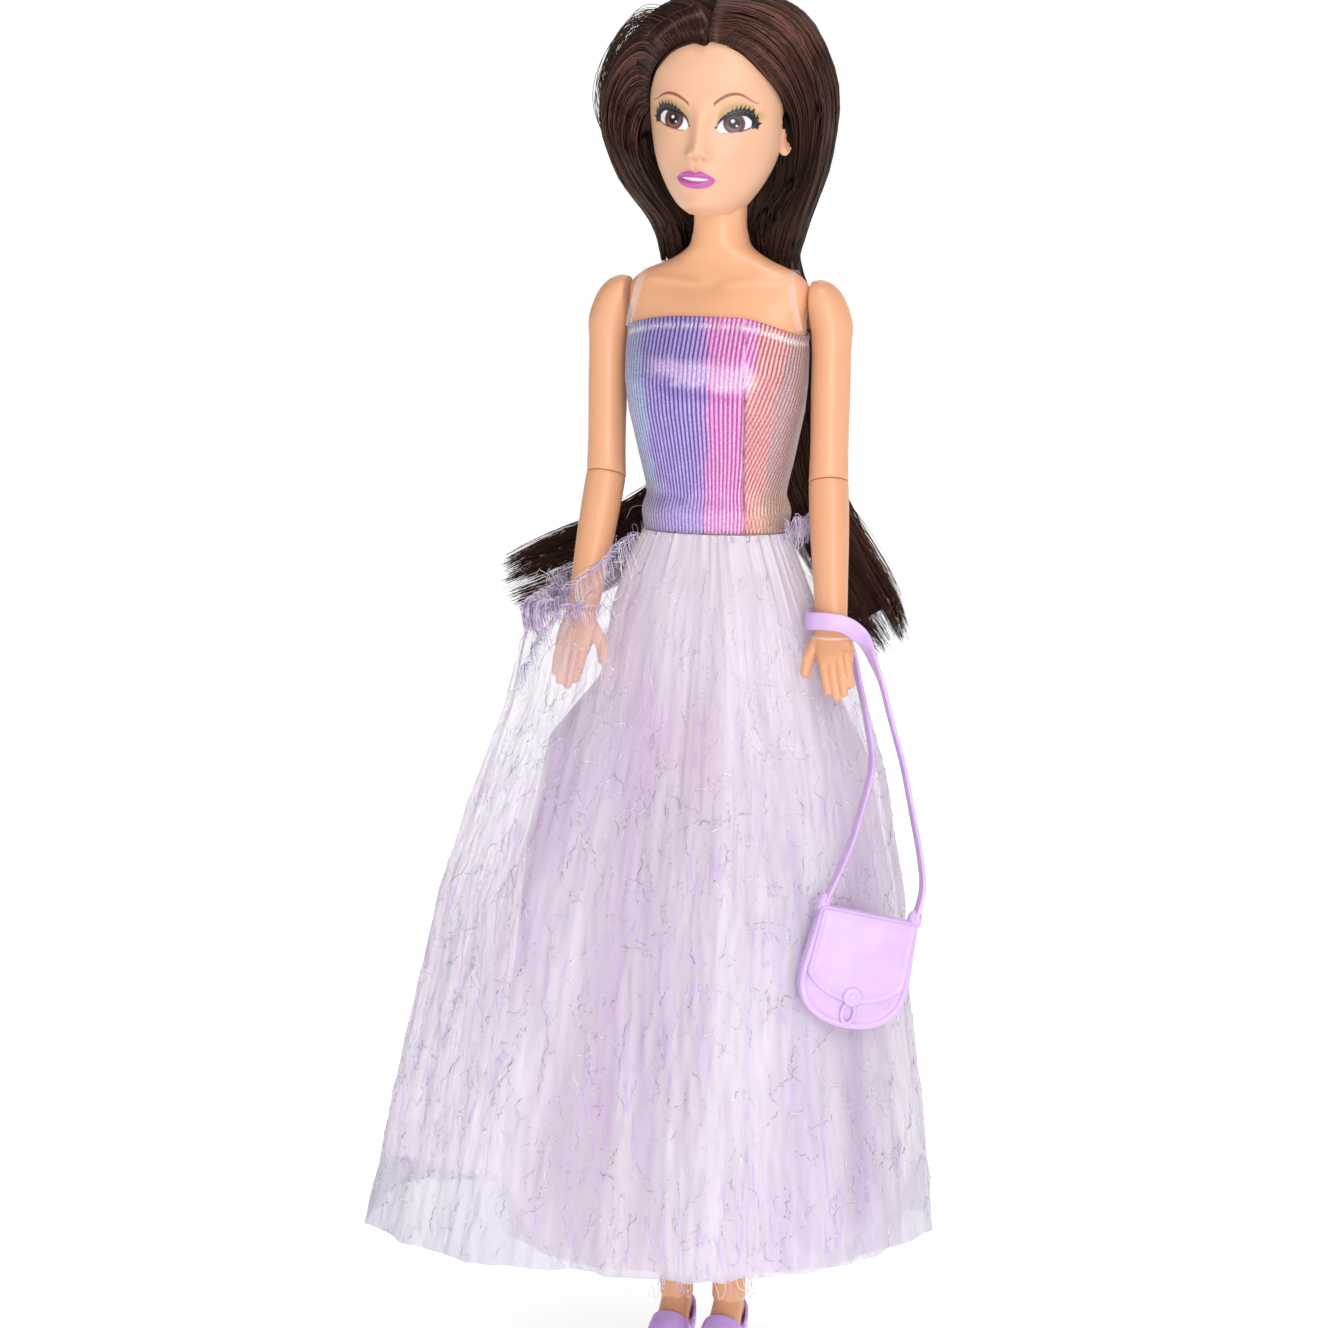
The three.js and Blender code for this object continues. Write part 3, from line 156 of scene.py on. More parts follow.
# Three-sided threads along many paths at once: paths is threads x steps x 3, radii threads x
# steps, and paint has one colour for each thread or for each of its steps.
def threads(paths, radii, paint):
    sides = 3
    count, steps = paths.shape[:2]
    along = unit(np.gradient(paths, axis=1))
    guide = np.where(np.abs(along[..., 2:]) > 0.9, np.array([1.0, 0, 0]), np.array([0, 0, 1.0]))
    across = unit(np.cross(along, guide))
    other = np.cross(along, across)
    angle = ringAngles(sides)
    ring = (across[:, :, None] * np.cos(angle)[None, None, :, None]
            + other[:, :, None] * np.sin(angle)[None, None, :, None])
    points = (paths[:, :, None] + ring * np.broadcast_to(radii, (count, steps))[:, :, None, None])
    t, i, j = np.meshgrid(np.arange(count), np.arange(steps - 1), np.arange(sides), indexing="ij")
    at = lambda a, b: (t * steps + a) * sides + b % sides
    quads = np.stack([at(i, j), at(i, j + 1), at(i + 1, j + 1), at(i + 1, j)], -1).reshape(-1, 4)
    uv = np.stack([np.stack([(t + (j + a) / sides) * .01, (i + b) / steps], -1)
                   for a, b in squareCorners], -2).reshape(-1, 4, 2)
    first = np.arange(count) * steps * sides
    last = first + (steps - 1) * sides
    triangles = np.concatenate([np.stack([first, first + 2, first + 1], -1),
                                np.stack([last, last + 1, last + 2], -1)])
    colours = paint.reshape(count, -1, 3)
    colours = np.repeat(colours, steps * sides // colours.shape[1], axis=1).reshape(-1, 3)
    made = shell(points.reshape(-1, 3), quads, triangles, uv, np.zeros((len(triangles), 3, 2)),
                 colours)
    p = made["points"]
    first = made["quads"][0]
    facing = np.cross(p[first[1]] - p[first[0]], p[first[2]] - p[first[0]])
    if facing @ (p[first].mean(0) - paths[0, :2].mean(0)) < 0:
        made["quads"], made["uvQuads"] = made["quads"][:, ::-1], made["uvQuads"][:, ::-1]
    else:
        made["triangles"] = made["triangles"][:, ::-1]
    return made


def joined(shells):
    base = np.cumsum([0] + [len(s["points"]) for s in shells])
    together = {key: np.concatenate([s[key] for s in shells])
                for key in ("points", "uvQuads", "uvTriangles")}
    for key in ("quads", "triangles"):
        together[key] = np.concatenate([s[key] + b for s, b in zip(shells, base)])
    together["paint"] = None
    if all(s["paint"] is not None for s in shells):
        together["paint"] = np.concatenate([s["paint"] for s in shells])
    return together


# Makes a Blender object of a shell, at the origin of the shared frame.
def piece(name, made, material, body, replaces=()):
    mesh = bpy.data.meshes.new(name)
    quads, triangles = made["quads"], made["triangles"]
    mesh.vertices.add(len(made["points"]))
    mesh.vertices.foreach_set("co", toFrame(made["points"]).astype(np.float32).ravel())
    corners = np.concatenate([quads.ravel(), triangles.ravel()])
    mesh.loops.add(len(corners))
    mesh.loops.foreach_set("vertex_index", corners.astype(np.int32))
    mesh.polygons.add(len(quads) + len(triangles))
    starts = np.concatenate([np.arange(len(quads)) * 4,
                             len(quads) * 4 + np.arange(len(triangles)) * 3])
    mesh.polygons.foreach_set("loop_start", starts.astype(np.int32))
    uvLayer = mesh.uv_layers.new(name="flow")
    uvs = np.concatenate([made["uvQuads"].reshape(-1, 2), made["uvTriangles"].reshape(-1, 2)])
    uvLayer.data.foreach_set("uv", uvs.astype(np.float32).ravel())
    if made["paint"] is not None:
        layer = mesh.color_attributes.new("paint", "FLOAT_COLOR", "POINT")
        colours = made["paint"]
        if colours.shape[1] == 3:
            colours = np.concatenate([colours, np.zeros((len(colours), 1))], 1)
        layer.data.foreach_set("color", colours.astype(np.float32).ravel())
    mesh.polygons.foreach_set("use_smooth", np.ones(len(starts), bool))
    mesh.update()
    mesh.validate()
    mesh.materials.append(material)
    made = addObject(name, mesh)
    if body:
        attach(made, body)
    if replaces:
        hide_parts(*replaces)
    return made


# Colours are sRGB hex values as they look in full studio light, which is a little above one;
# dividing by it leaves the surface's own share of light.
fullLight = 1.12


def linear(hexColour):
    parts = np.array([int(hexColour[k:k + 2], 16) / 255 for k in (1, 3, 5)])
    seen = np.where(parts <= 0.04045, parts / 12.92, ((parts + 0.055) / 1.055) ** 2.4)
    return seen / fullLight


def over(base, top, share):  # top laid over base by its share, which is kept between 0 and 1
    return base + (top - base) * np.clip(share, 0, 1)[..., None]


def evenPaint(made, hexColour):
    made["paint"] = np.broadcast_to(linear(hexColour), made["points"].shape)
    return made


def rgba(hexColour):
    return (*linear(hexColour), 1.0)


# Sets a node's inputs by name or number: a socket is linked, anything else is a value.
def feed(node, inputs):
    for key, value in inputs.items():
        if isinstance(value, bpy.types.NodeSocket):
            node.id_data.links.new(value, node.inputs[key])
        else:
            node.inputs[key].default_value = value


# Adds a node and gives back one output. Plain words set its properties, and stops fill a ramp.
def addNode(tree, kind, inputs=None, out=0, stops=(), **settings):
    node = tree.nodes.new("ShaderNode" + kind)
    for key, value in settings.items():
        setattr(node, key, value)
    feed(node, inputs or {})
    for k, (position, colour) in enumerate(stops):
        element = node.color_ramp.elements[k]
        element.position, element.color = position, rgba(colour)
    return node.outputs[out]


def newMaterial(name, **values):
    material = bpy.data.materials.new(name)
    material.use_nodes = True
    surface = material.node_tree.nodes["Principled BSDF"]
    feed(surface, {key.replace("_", " "): value for key, value in values.items()})
    return material, material.node_tree, surface


def paintOf(tree, out="Color"):  # the colour kept at each point of the mesh
    return addNode(tree, "Attribute", out=out, attribute_name="paint")


def objectNoise(tree, scale, detail):
    where = addNode(tree, "TexCoord", out="Object")
    return addNode(tree, "TexNoise", {"Vector": where, "Scale": scale, "Detail": detail})


def flowNoise(tree, across, down, detail, **more):  # noise stretched along the piece's own flow
    flow = addNode(tree, "UVMap", uv_map="flow")
    at = addNode(tree, "VectorMath", {0: flow, 1: (across, down, 1.0)}, operation="MULTIPLY")
    return addNode(tree, "TexNoise", {"Vector": at, "Scale": 1.0, "Detail": detail, **more})


def flowTangent(tree):
    return addNode(tree, "Tangent", direction_type="UV_MAP", uv_map="flow")


def remap(tree, value, low, high, start, end, **settings):
    return addNode(tree, "MapRange", {0: value, 1: low, 2: high, 3: start, 4: end}, **settings)


def calc(tree, operation, a, b=0.5):
    return addNode(tree, "Math", {0: a, 1: b}, operation=operation)


def mixColour(tree, share, a, b, **settings):
    return addNode(tree, "Mix", {"Factor": share, 6: a, 7: b}, 2, data_type="RGBA", **settings)


def scaledPaint(tree, share):
    return addNode(tree, "VectorMath", {0: paintOf(tree), 3: share}, operation="SCALE")


def relief(tree, height, strength, distance):
    return addNode(tree, "Bump", {"Height": height, "Strength": strength, "Distance": distance})


def addObject(name, data):
    made = bpy.data.objects.new(name, data)
    bpy.context.scene.collection.objects.link(made)
    return made


# Camera: the photograph looks down from a little above, from the doll's left of centre
cameraSet = {"azimuth": 17.0, "distance": 1150.0, "height": 305.0, "targetHeight": 150.4,
             "shiftRight": 10.6, "scale": 4.8, "roll": 0.5, "imageSize": 1328.0, "sensor": 36.0}


def makeCamera(c):
    a = math.radians(c["azimuth"])
    right = np.array([math.cos(a), math.sin(a), 0.0])
    place = np.array([c["distance"] * math.sin(a), -c["distance"] * math.cos(a), c["height"]])
    place -= right * c["shiftRight"]
    target = np.array([0, 0, c["targetHeight"]]) - right * c["shiftRight"]
    data = bpy.data.cameras.new("camera")
    data.sensor_width = c["sensor"]
    data.lens = c["scale"] * np.linalg.norm(target - place) / c["imageSize"] * c["sensor"]
    data.clip_start, data.clip_end = 0.05, 20
    camera = addObject("camera", data)
    look = Vector(target - place).to_track_quat("-Z", "Y").to_matrix().to_4x4()
    camera.matrix_world = (Matrix.Translation(Vector(toFrame(place))) @ look
                           @ Matrix.Rotation(math.radians(c["roll"]), 4, "Z"))
    bpy.context.scene.camera = camera
    print("camera lens", round(data.lens, 1))


# Studio: a light table, its white acrylic glowing softly from below, under one broad light from
# the front right. The world is white along the horizon, dimmer overhead and shaded at both sides,
# so round parts fall off towards their edges. The lamps add the glints: each has its place from
# the doll's middle in metres, its size and its power.
studioSet = {"floorSize": 40.0, "floorShare": 0.8, "floorGlow": 0.62, "horizon": 1.03,
             "overhead": 0.36, "shade": (0.25, 0.55),
             "broad": {"from": (0.95, -1.1, 0.85), "strength": 0.75, "angle": 30.0},
             "lights": [("key", (0.75, -1.7, 0.95), 0.5, 2.2),
                        ("low", (0.6, -1.4, -0.12), 0.6, 10.5),
                        ("top", (0.25, -0.35, 1.5), 0.45, 7.5),
                        ("rim", (-0.5, 1.5, 1.2), 0.9, 3.0)]}


def makeStudio(s):
    bpy.context.scene.view_settings.view_transform = "Standard"
    world = bpy.data.worlds.new("studioWorld")
    world.use_nodes = True
    tree = world.node_tree
    axis = lambda k: addNode(tree, "SeparateXYZ", {0: addNode(tree, "TexCoord")}, k)
    glow = remap(tree, axis(2), 0.14, 0.5, s["horizon"], s["overhead"],
                 interpolation_type="SMOOTHSTEP")
    for side, shade in zip((-1, 1), s["shade"]):
        edge = remap(tree, axis(0), side * 0.9, side * 0.45, shade, 1.0,
                     interpolation_type="SMOOTHSTEP")
        glow = calc(tree, "MULTIPLY", glow, edge)
    feed(tree.nodes["Background"], {"Strength": glow, "Color": (1, 1, 1, 1)})
    bpy.context.scene.world = world
    half = s["floorSize"] / 2
    mesh = bpy.data.meshes.new("studioFloor")
    mesh.from_pydata([(-half, -half, 0), (half, -half, 0), (half, half, 0), (-half, half, 0)], [],
                     [(0, 1, 2, 3)])
    share = s["floorShare"]
    mesh.materials.append(newMaterial("litAcrylic", Roughness=0.8, Specular_IOR_Level=0.1,
                                      Emission_Strength=s["floorGlow"],
                                      Base_Color=(share, share, share, 1),
                                      Emission_Color=(1, 1, 1, 1))[0])
    floor = addObject("studioFloor", mesh)
    middle = Vector(toFrame((0, 0, 150)))
    sun = bpy.data.lights.new("broad", "SUN")
    sun.energy, sun.angle = s["broad"]["strength"], math.radians(s["broad"]["angle"])
    broad = addObject("broad", sun)
    broad.rotation_euler = Vector(s["broad"]["from"]).to_track_quat("Z", "Y").to_euler()
    for name, place, size, power in s["lights"]:
        data = bpy.data.lights.new(name, "AREA")
        data.size, data.energy = size, power
        lamp = addObject(name, data)
        lamp.location = middle + Vector(place)
        lamp.rotation_euler = (-Vector(place)).to_track_quat("-Z", "Y").to_euler()


makeCamera(cameraSet)
makeStudio(studioSet)
print("camera and studio")


# Skin: ABS and vinyl moulded in a peach tone, with a faint grain and a soft inner glow. Without a
# colour the paint shows, and the alpha of the paint is its own shine.
def skinMaterial(name, colour=None):
    material, tree, surface = newMaterial(name, Roughness=0.36, IOR=1.5, Subsurface_Weight=0.12,
                                          Subsurface_Scale=0.0012,
                                          Subsurface_Radius=(1.0, 0.45, 0.25))
    base = rgba(colour) if colour else paintOf(tree)
    if not colour:
        feed(surface, {"Roughness": remap(tree, paintOf(tree, "Alpha"), 0.0, 1.0, 0.45, 0.12)})
    grain = objectNoise(tree, 2600.0, 2.0)  # 0.4 mm blasted mould grain
    feed(surface, {"Base Color": mixColour(tree, objectNoise(tree, 90.0, 3.0), base,
                                           (1.0, 0.93, 0.9, 1), blend_type="MULTIPLY"),
                   "Normal": relief(tree, grain, 0.04, 0.0001)})
    return material


bodyPlastic = skinMaterial("peachMouldedPlastic", "#ebb188")
armVinylInPaintedShade = skinMaterial("peachArmVinylPaintedShade", "#e6ab83")  # soft vinyl, painted darker than the body as painted shade for the dimmer light on the arms
paintedVinyl = skinMaterial("paintedVinyl")


# Two axes across a chain of middles: one as near to X as can be, and the one square to it
def crossAxes(middles):
    along = unit(np.gradient(middles, axis=0))
    deepAxis = unit(np.cross(along, np.array([1.0, 0, 0])))
    return np.cross(deepAxis, along), deepAxis


# A limb: each ring stands square to the chain of middles, wide across X and deep the other way.
def limbRows(middles, wide, deep, sides=48, power=2.0):
    wideAxis, deepAxis = crossAxes(middles)
    angle = ringAngles(sides)
    across = squared(np.cos(angle), 2 / power) * np.asarray(wide)[:, None]
    through = squared(np.sin(angle), 2 / power) * np.asarray(deep)[:, None]
    return (middles[:, None] + wideAxis[:, None] * across[..., None]
            + deepAxis[:, None] * through[..., None])


# A finger: rings along a cubic through points, with three shrinking rings to round each end
def capsule(points, radii, steps, sides):
    at = np.linspace(0, 1, len(points))
    t = np.linspace(0, 1, steps)
    table = np.column_stack([at, points, radii])
    read = readTable(table, t)
    middles, r = read[:, :3], read[:, 3]
    begin, end = unit(middles[0] - middles[1]), unit(middles[-1] - middles[-2])
    caps = np.array([0.3, 0.72, 0.94])
    low = [(middles[0] + begin * r[0] * math.sqrt(1 - k * k), r[0] * k) for k in caps]
    high = [(middles[-1] + end * r[-1] * math.sqrt(1 - k * k), r[-1] * k) for k in caps[::-1]]
    middles = np.vstack([[m for m, k in low], middles, [m for m, k in high]])
    r = np.concatenate([[k for m, k in low], r, [k for m, k in high]])
    return skin(limbRows(middles, r, r, sides), ends=True)


# Melts overlapping closed shells into one skin: a voxel remesh, then a relaxing of the steps.
def melt(obj, voxel, rounds):
    remesh = obj.modifiers.new("melt", "REMESH")
    remesh.mode, remesh.voxel_size, remesh.use_smooth_shade = "VOXEL", voxel * mm, True
    relax = obj.modifiers.new("relax", "SMOOTH")
    relax.factor, relax.iterations = 0.5, rounds


# Torso: half width, half depth and shift back at each share of its height
torsoSet = {"bottom": 149.0, "height": 98.1, "split": 1.5, "gap": 0.06, "sideCut": 19.6,
            "power": 2.2}
torsoRows = [((18.6, 12.6), [  # hips to bust, as shares of the bust's half width and half depth
    (0, .16, .26, 0), (.035, .52, .56, 0), (.09, .76, .76, 0), (.18, .81, .8, 0),
    (.284, .79, .82, 0), (.38, .742, .74, .01), (.455, .84, .83, 0), (.56, .96, 1, -.05),
    (.62, .995, 1.045, -.07), (.675, 1, .97, -.045)]), ((19.6, 12.6), [  # shoulders
        (.75, .945, .7, .02), (.795, .985, .55, .06), (.822, .97, .45, .08), (.85, .81, .41, .1),
        (.873, .54, .42, .12)]), ((5.5, 5.75), [  # neck
            (.9, 1.22, 1.01, .2), (.928, 1.03, 1.01, .175), (1, 1, 1, .09)])]
torsoTable = np.array([(h, w * half[0], d * half[1], b * half[1])
                       for half, rows in torsoRows for h, w, d, b in rows])


def torsoShare(z):
    return (np.asarray(z, float) - torsoSet["bottom"]) / torsoSet["height"]


# Straight lines between the rows, as the CAD torso has them, so cloth laid on it stays clear
def torsoSize(z):
    return [np.interp(torsoShare(z), torsoTable[:, 0], torsoTable[:, k]) for k in (1, 2, 3)]


# A squared ellipse: cos and sin to the power 2 / 2.2, by the half width and the half depth
def torsoRing(angle, wide, deep, back):
    k = 2 / torsoSet["power"]
    return squared(np.cos(angle), k) * wide, back + squared(np.sin(angle), k) * deep


def torsoPoint(angle, z, grown):
    wide, deep, back = torsoSize(z)
    x, y = torsoRing(angle, wide + grown, deep + grown, back)
    return np.stack(np.broadcast_arrays(x, y, z), -1)


def makeTorso():
    z = np.concatenate([np.linspace(149.2, 215, 52), np.linspace(215.5, 247.0, 76)])
    keep = (z < 224.5)[:, None]  # under the bodice the skin keeps to the CAD torso's lines
    size = np.where(keep, np.stack(torsoSize(z), 1), readTable(torsoTable, torsoShare(z)))
    angle = ringAngles(144)[None]
    x, y = torsoRing(angle, size[:, :1], size[:, 1:2], size[:, 2:])
    level = z[:, None] + 0 * x
    # Collar bones: two low ridges that run out from the hollow of the throat
    bone = 229.6 + 0.16 * np.abs(x) - 0.004 * x * x
    side = np.abs(x)
    ridge = bump(level, bone, 0.9) * smoothStep(1.2, 4, side) * (1 - smoothStep(12, 17, side))
    hollow = bump(level, 229.4, 1.5) * bump(x, 0, 1.7)
    y = y - np.where(np.sin(angle) < 0, 0.45 * ridge - 0.5 * hollow, 0)
    x = np.clip(x, -torsoSet["sideCut"], torsoSet["sideCut"])
    for name, part, limit in (("torsoFront", "torso_front", -1), ("torsoBack", "torso_back", 1)):
        edge = torsoSet["split"] + limit * torsoSet["gap"]
        half = np.minimum(y, edge) if limit < 0 else np.maximum(y, edge)
        rows = np.stack([x, half, level], -1)
        piece(name, skin(rows, ends=True), bodyPlastic, "torso", [part])


makeTorso()

armSet = {"x": 24.05, "shoulder": (1.5, 226.6), "elbow": (0.0, 189.4), "face": 19.9,
          "wrist": {1: (27.75, -10.0, 162.6), -1: (-25.65, -10.0, 162.6)}, "diameter": 8.3,
          "hand": 18.5, "palm": 8.4, "palmThick": 3.6}
upperArmRows = [(-.118, .06, .06), (-.108, .22, .23), (-.085, .38, .4), (-.045, .51, .54),
                (0, .555, .585), (.08, .56, .575),
                (.22, .5, .54), (.5, .49, .51), (.8, .475, .49), (1.05, .5, .5)]
forearmRows = [(0, 1, 1), (.15, 1, 1), (.4, .96, .97), (.75, .86, .85), (1, .795, .72)]


# The arm's joints, the forearm's line, the hand's line and the axis across the palm
def armLines(side):
    shoulder = np.array([side * armSet["x"], *armSet["shoulder"]])
    elbow = np.array([side * armSet["x"], *armSet["elbow"]])
    wrist = np.array(armSet["wrist"][side])
    line = unit(wrist - elbow)
    reach = unit(np.array([line[0] * 1.3 + side * 0.06, line[1] * 1.15, line[2]]))
    across = unit(np.cross(reach, np.array([0, 1.0, 0])))
    across = across if across[0] * side > 0 else -across
    return shoulder, elbow, wrist, line, reach, across


def makeArm(side):
    label = sideName[side]
    shoulder, elbow, wrist, line, reach, across = armLines(side)
    d = armSet["diameter"]
    share = np.concatenate([-.118 + .118 * np.linspace(0, 1, 24) ** 2, np.linspace(.01, 1.0, 60)])
    size = readTable(upperArmRows, share)
    middles = shoulder + (elbow - shoulder) * share[:, None]
    rows = limbRows(middles, size[:, 0] * d, size[:, 1] * d, 56)
    down = unit(elbow - shoulder)
    # The lower end is a plane square to the forearm, with its edge eased by 0.25 mm
    for k, (back, shrink) in enumerate(((0.22, 1.0), (0.1, 0.99), (0.05, 0.96))):
        middle = elbow - line * back
        ring = middle + (rows[-1] - rows[-1].mean(0)) * shrink
        ring = ring - ((ring - middle) @ line)[:, None] * down / (down @ line)
        rows = np.concatenate([rows[:-1] if k == 0 else rows, ring[None]])
    rows = rows[np.append(share[:-1] < .96, [True] * 3)]
    # The top leans inwards and slopes down outwards, so it carries on the line of the shoulder
    rise = smoothStep(219.5, 231.5, rows[..., 2])
    rows[..., 0] -= side * 2.5 * rise
    out = np.clip((rows[..., 0] * side - armSet["face"]) / armSet["diameter"], 0, 1)
    rows[..., 2] -= 1.5 * rise * out ** 2
    inner = side * armSet["face"]
    rows[..., 0] = np.where(rows[..., 0] * side < armSet["face"], inner, rows[..., 0])
    piece("upperArm" + label.title(), skin(rows, ends=True), armVinylInPaintedShade,
          "upper_arm_" + label, ["upper_arm_" + label])
    length = np.linalg.norm(wrist - elbow)
    share = np.linspace(0.0, 1.0, 40)
    size = readTable(forearmRows, share)
    middles = elbow + line * (share * length)[:, None]
    ease = np.where(share < 0.02, 0.97, 1.0)
    parts = [skin(limbRows(middles, size[:, 0] * d / 2 * ease, size[:, 1] * d / 2 * ease, 36),
                  ends=True)]
    parts += handShells(wrist, reach, across, side)
    forearm = piece("forearm" + label.title(), joined(parts), armVinylInPaintedShade, "forearm_" + label,
                    ["forearm_" + label])
    melt(forearm, 0.22, 5)


# Hand: a palm, four bent fingers and a thumb. hand is its length, palm its width, and forward is
# the back of the hand, which faces the viewer.
def handShells(wrist, reach, across, side):
    hand, palm = armSet["hand"], armSet["palm"]
    forward = unit(np.cross(across, reach)) * side
    forward = forward if forward[1] < 0 else -forward
    at = lambda down, aside, ahead=0.0: wrist + reach * hand * down + across * palm * aside \
        + forward * ahead
    share = np.linspace(-0.06, 0.56, 22)
    rows = [(-.06, .76, 1.5), (0, .77, 1.42), (.14, .84, 1.05), (.34, .93, 1.0), (.5, .9, .86),
            (.56, .82, .66)]
    size = readTable(rows, share)
    middles = wrist + reach * (share * hand)[:, None]
    shells = [skin(limbRows(middles, size[:, 0] * palm / 2, size[:, 1] * armSet["palmThick"] / 2,
                            32, 2.4), ends=True)]
    fingers = [(-.3, .88, .1, 1.06), (-.095, .955, .5, 1.1), (.115, .93, .2, 1.06),
               (.31, .84, .7, .96)]
    for place, far, bend, r in fingers:  # place across the palm, reach, bend in mm, radius
        spread = -.02 * np.sign(place) * (abs(place) > .2)
        points = [at(.42, place * .96, .15), at(.56, place + spread * .2, .25),
                  at(.56 + (far - .56) * .48, place + spread * .62, .1 - bend * .2),
                  at(far - .045, place + spread, -.1 - bend)]
        shells.append(capsule(points, [r * 1.02, r * 1.04, r, r * .84], 16, 14))
        knuckle = at(.5, place, .75)
        shells.append(capsule([knuckle - reach * .7, knuckle + reach * .9], [.8, .75], 5, 12))
    thumb = [at(.16, -.22, -.1), at(.3, -.56, -.35), at(.42, -.72, -.5), at(.56, -.83, -.55)]
    shells.append(capsule(thumb, [1.6, 1.45, 1.3, 1.1], 16, 14))
    return shells


for side in (1, -1):
    makeArm(side)
print("torso and arms")

# Legs below the knee, with a raised foot and five toes. Rows of the shin: share of the way down,
# half width and half depth by the calf. Rows of the foot: share of its length, then the middle's
# height, half width and half depth by the foot's own measures.
legSet = {"hip": (8.0, 0.0, 158.0), "ankle": (5.7, -4.5, 17.0), "calf": 10.0, "footLength": 20.0,
          "footWide": 7.2, "footHigh": 17.0}
shinRows = [(-.07, .42, .42), (0, .48, .49), (.15, .46, .48), (.32, .48, .52), (.6, .4, .42),
            (.85, .345, .36), (1, .35, .35)]
footRows = [(-.04, 1, .43, .46), (.1, .76, .46, .5), (.34, .55, .47, .42), (.58, .36, .5, .33),
            (.82, .255, .5, .23), (.93, .24, .44, .19)]


def footPath(ankle, share):
    size = readTable(footRows, share)
    middles = np.stack([ankle[0] + 0 * share, ankle[1] - share * legSet["footLength"],
                        size[:, 0] * legSet["footHigh"]], 1)
    return middles, size[:, 1] * legSet["footWide"], size[:, 2] * legSet["footWide"]


def makeShin(side):
    label = sideName[side]
    hip = np.array(legSet["hip"]) * (side, 1, 1)
    ankle = np.array(legSet["ankle"]) * (side, 1, 1)
    knee = hip + (ankle - hip) * 73 / 141
    share = np.linspace(-.03, 1, 70)
    size = readTable(shinRows, share) * legSet["calf"]
    shin = skin(limbRows(knee + (ankle - knee) * share[:, None], size[:, 0], size[:, 1], 40),
                ends=True)
    foot = skin(limbRows(*footPath(ankle, np.linspace(-.04, .93, 40)), 32), ends=True)
    heel = ankle + np.array([0, 1.3, -2.76])
    parts = [shin, foot, capsule([heel, heel + (0, .3, .5)], [3.05, 3.05], 6, 24)]
    inward = -side
    for k, (aside, length, r) in enumerate(((2.15, 1.6, 1.1), (.55, 1.5, .82), (-.75, 1.1, .76),
                                            (-1.9, .6, .7), (-2.8, .0, .62))):
        root = np.array([ankle[0] + inward * aside, ankle[1] - legSet["footLength"] * .84, 4.0])
        tip = root + np.array([inward * aside * .02, -1.6 - length, -.35])
        parts.append(capsule([root, root * .5 + tip * .5 + (0, 0, .22), tip], [r, r * 1.02, r * .9],
                             9, 12))
    made = piece("shin" + label.title(), joined(parts), bodyPlastic, "shin_" + label,
                 ["shin_" + label])
    melt(made, 0.31, 3)


for side in (1, -1):
    makeShin(side)
steelPin = newMaterial("drawnSteel", Metallic=1.0, Roughness=0.3, Base_Color=rgba("#b8bcc0"))[0]
for kind, finish in (("thigh_", bodyPlastic), ("knee_pin_", steelPin)):
    for side in sideName.values():
        materials = bpy.data.objects[kind + side].data.materials
        materials.clear()
        materials.append(finish)
print("legs")

# Head: the height share, half width, front reach and back reach of each level
headSet = {"bottom": 244.22, "height": 43.0, "halfWidth": 14.0, "halfDepth": 15.0, "yaw": 4.0,
           "centre": -0.75, "aside": -0.35, "wider": 1.02, "paintAside": 0.42, "mouth": 0.75,
           "mouthLean": 0.07, "columns": 330, "rows": 292}
headRows = [(0, .34, .55, .3), (.03, .45, .74, .45), (.09, .6, .86, .62), (.2, .79, .91, .78),
            (.33, .915, .95, .9), (.45, .97, .94, .98), (.58, 1, .9, 1), (.72, .97, .87, .98),
            (.84, .84, .74, .88), (.93, .6, .5, .66), (1, .2, .16, .24)]


def turnHead(points):  # turned about the upright axis by the head's yaw
    a = math.radians(headSet["yaw"])
    x, y, z = points[..., 0], points[..., 1], points[..., 2]
    return np.stack([x * math.cos(a) - y * math.sin(a), x * math.sin(a) + y * math.cos(a), z], -1)


def headSize(z):
    table = readTable(headRows, (np.asarray(z, float) - headSet["bottom"]) / headSet["height"])
    return (table[..., 0] * headSet["halfWidth"], table[..., 1] * headSet["halfDepth"],
            table[..., 2] * headSet["halfDepth"])


# Nose: at each height, how far it stands out and its half width, in mm
noseRidge = [(253.6, 0, 1.5), (254.6, .12, 1.5), (255.6, .8, 1.55), (256.3, 2.0, 1.5),
             (257.1, 3.1, 1.42), (258.0, 3.45, 1.32), (259.0, 3.0, 1.22), (261.0, 2.0, 1.12),
             (263.5, 1.15, 1.1), (266.0, .6, 1.4), (269.0, .1, 2.0), (271, 0, 2.0)]


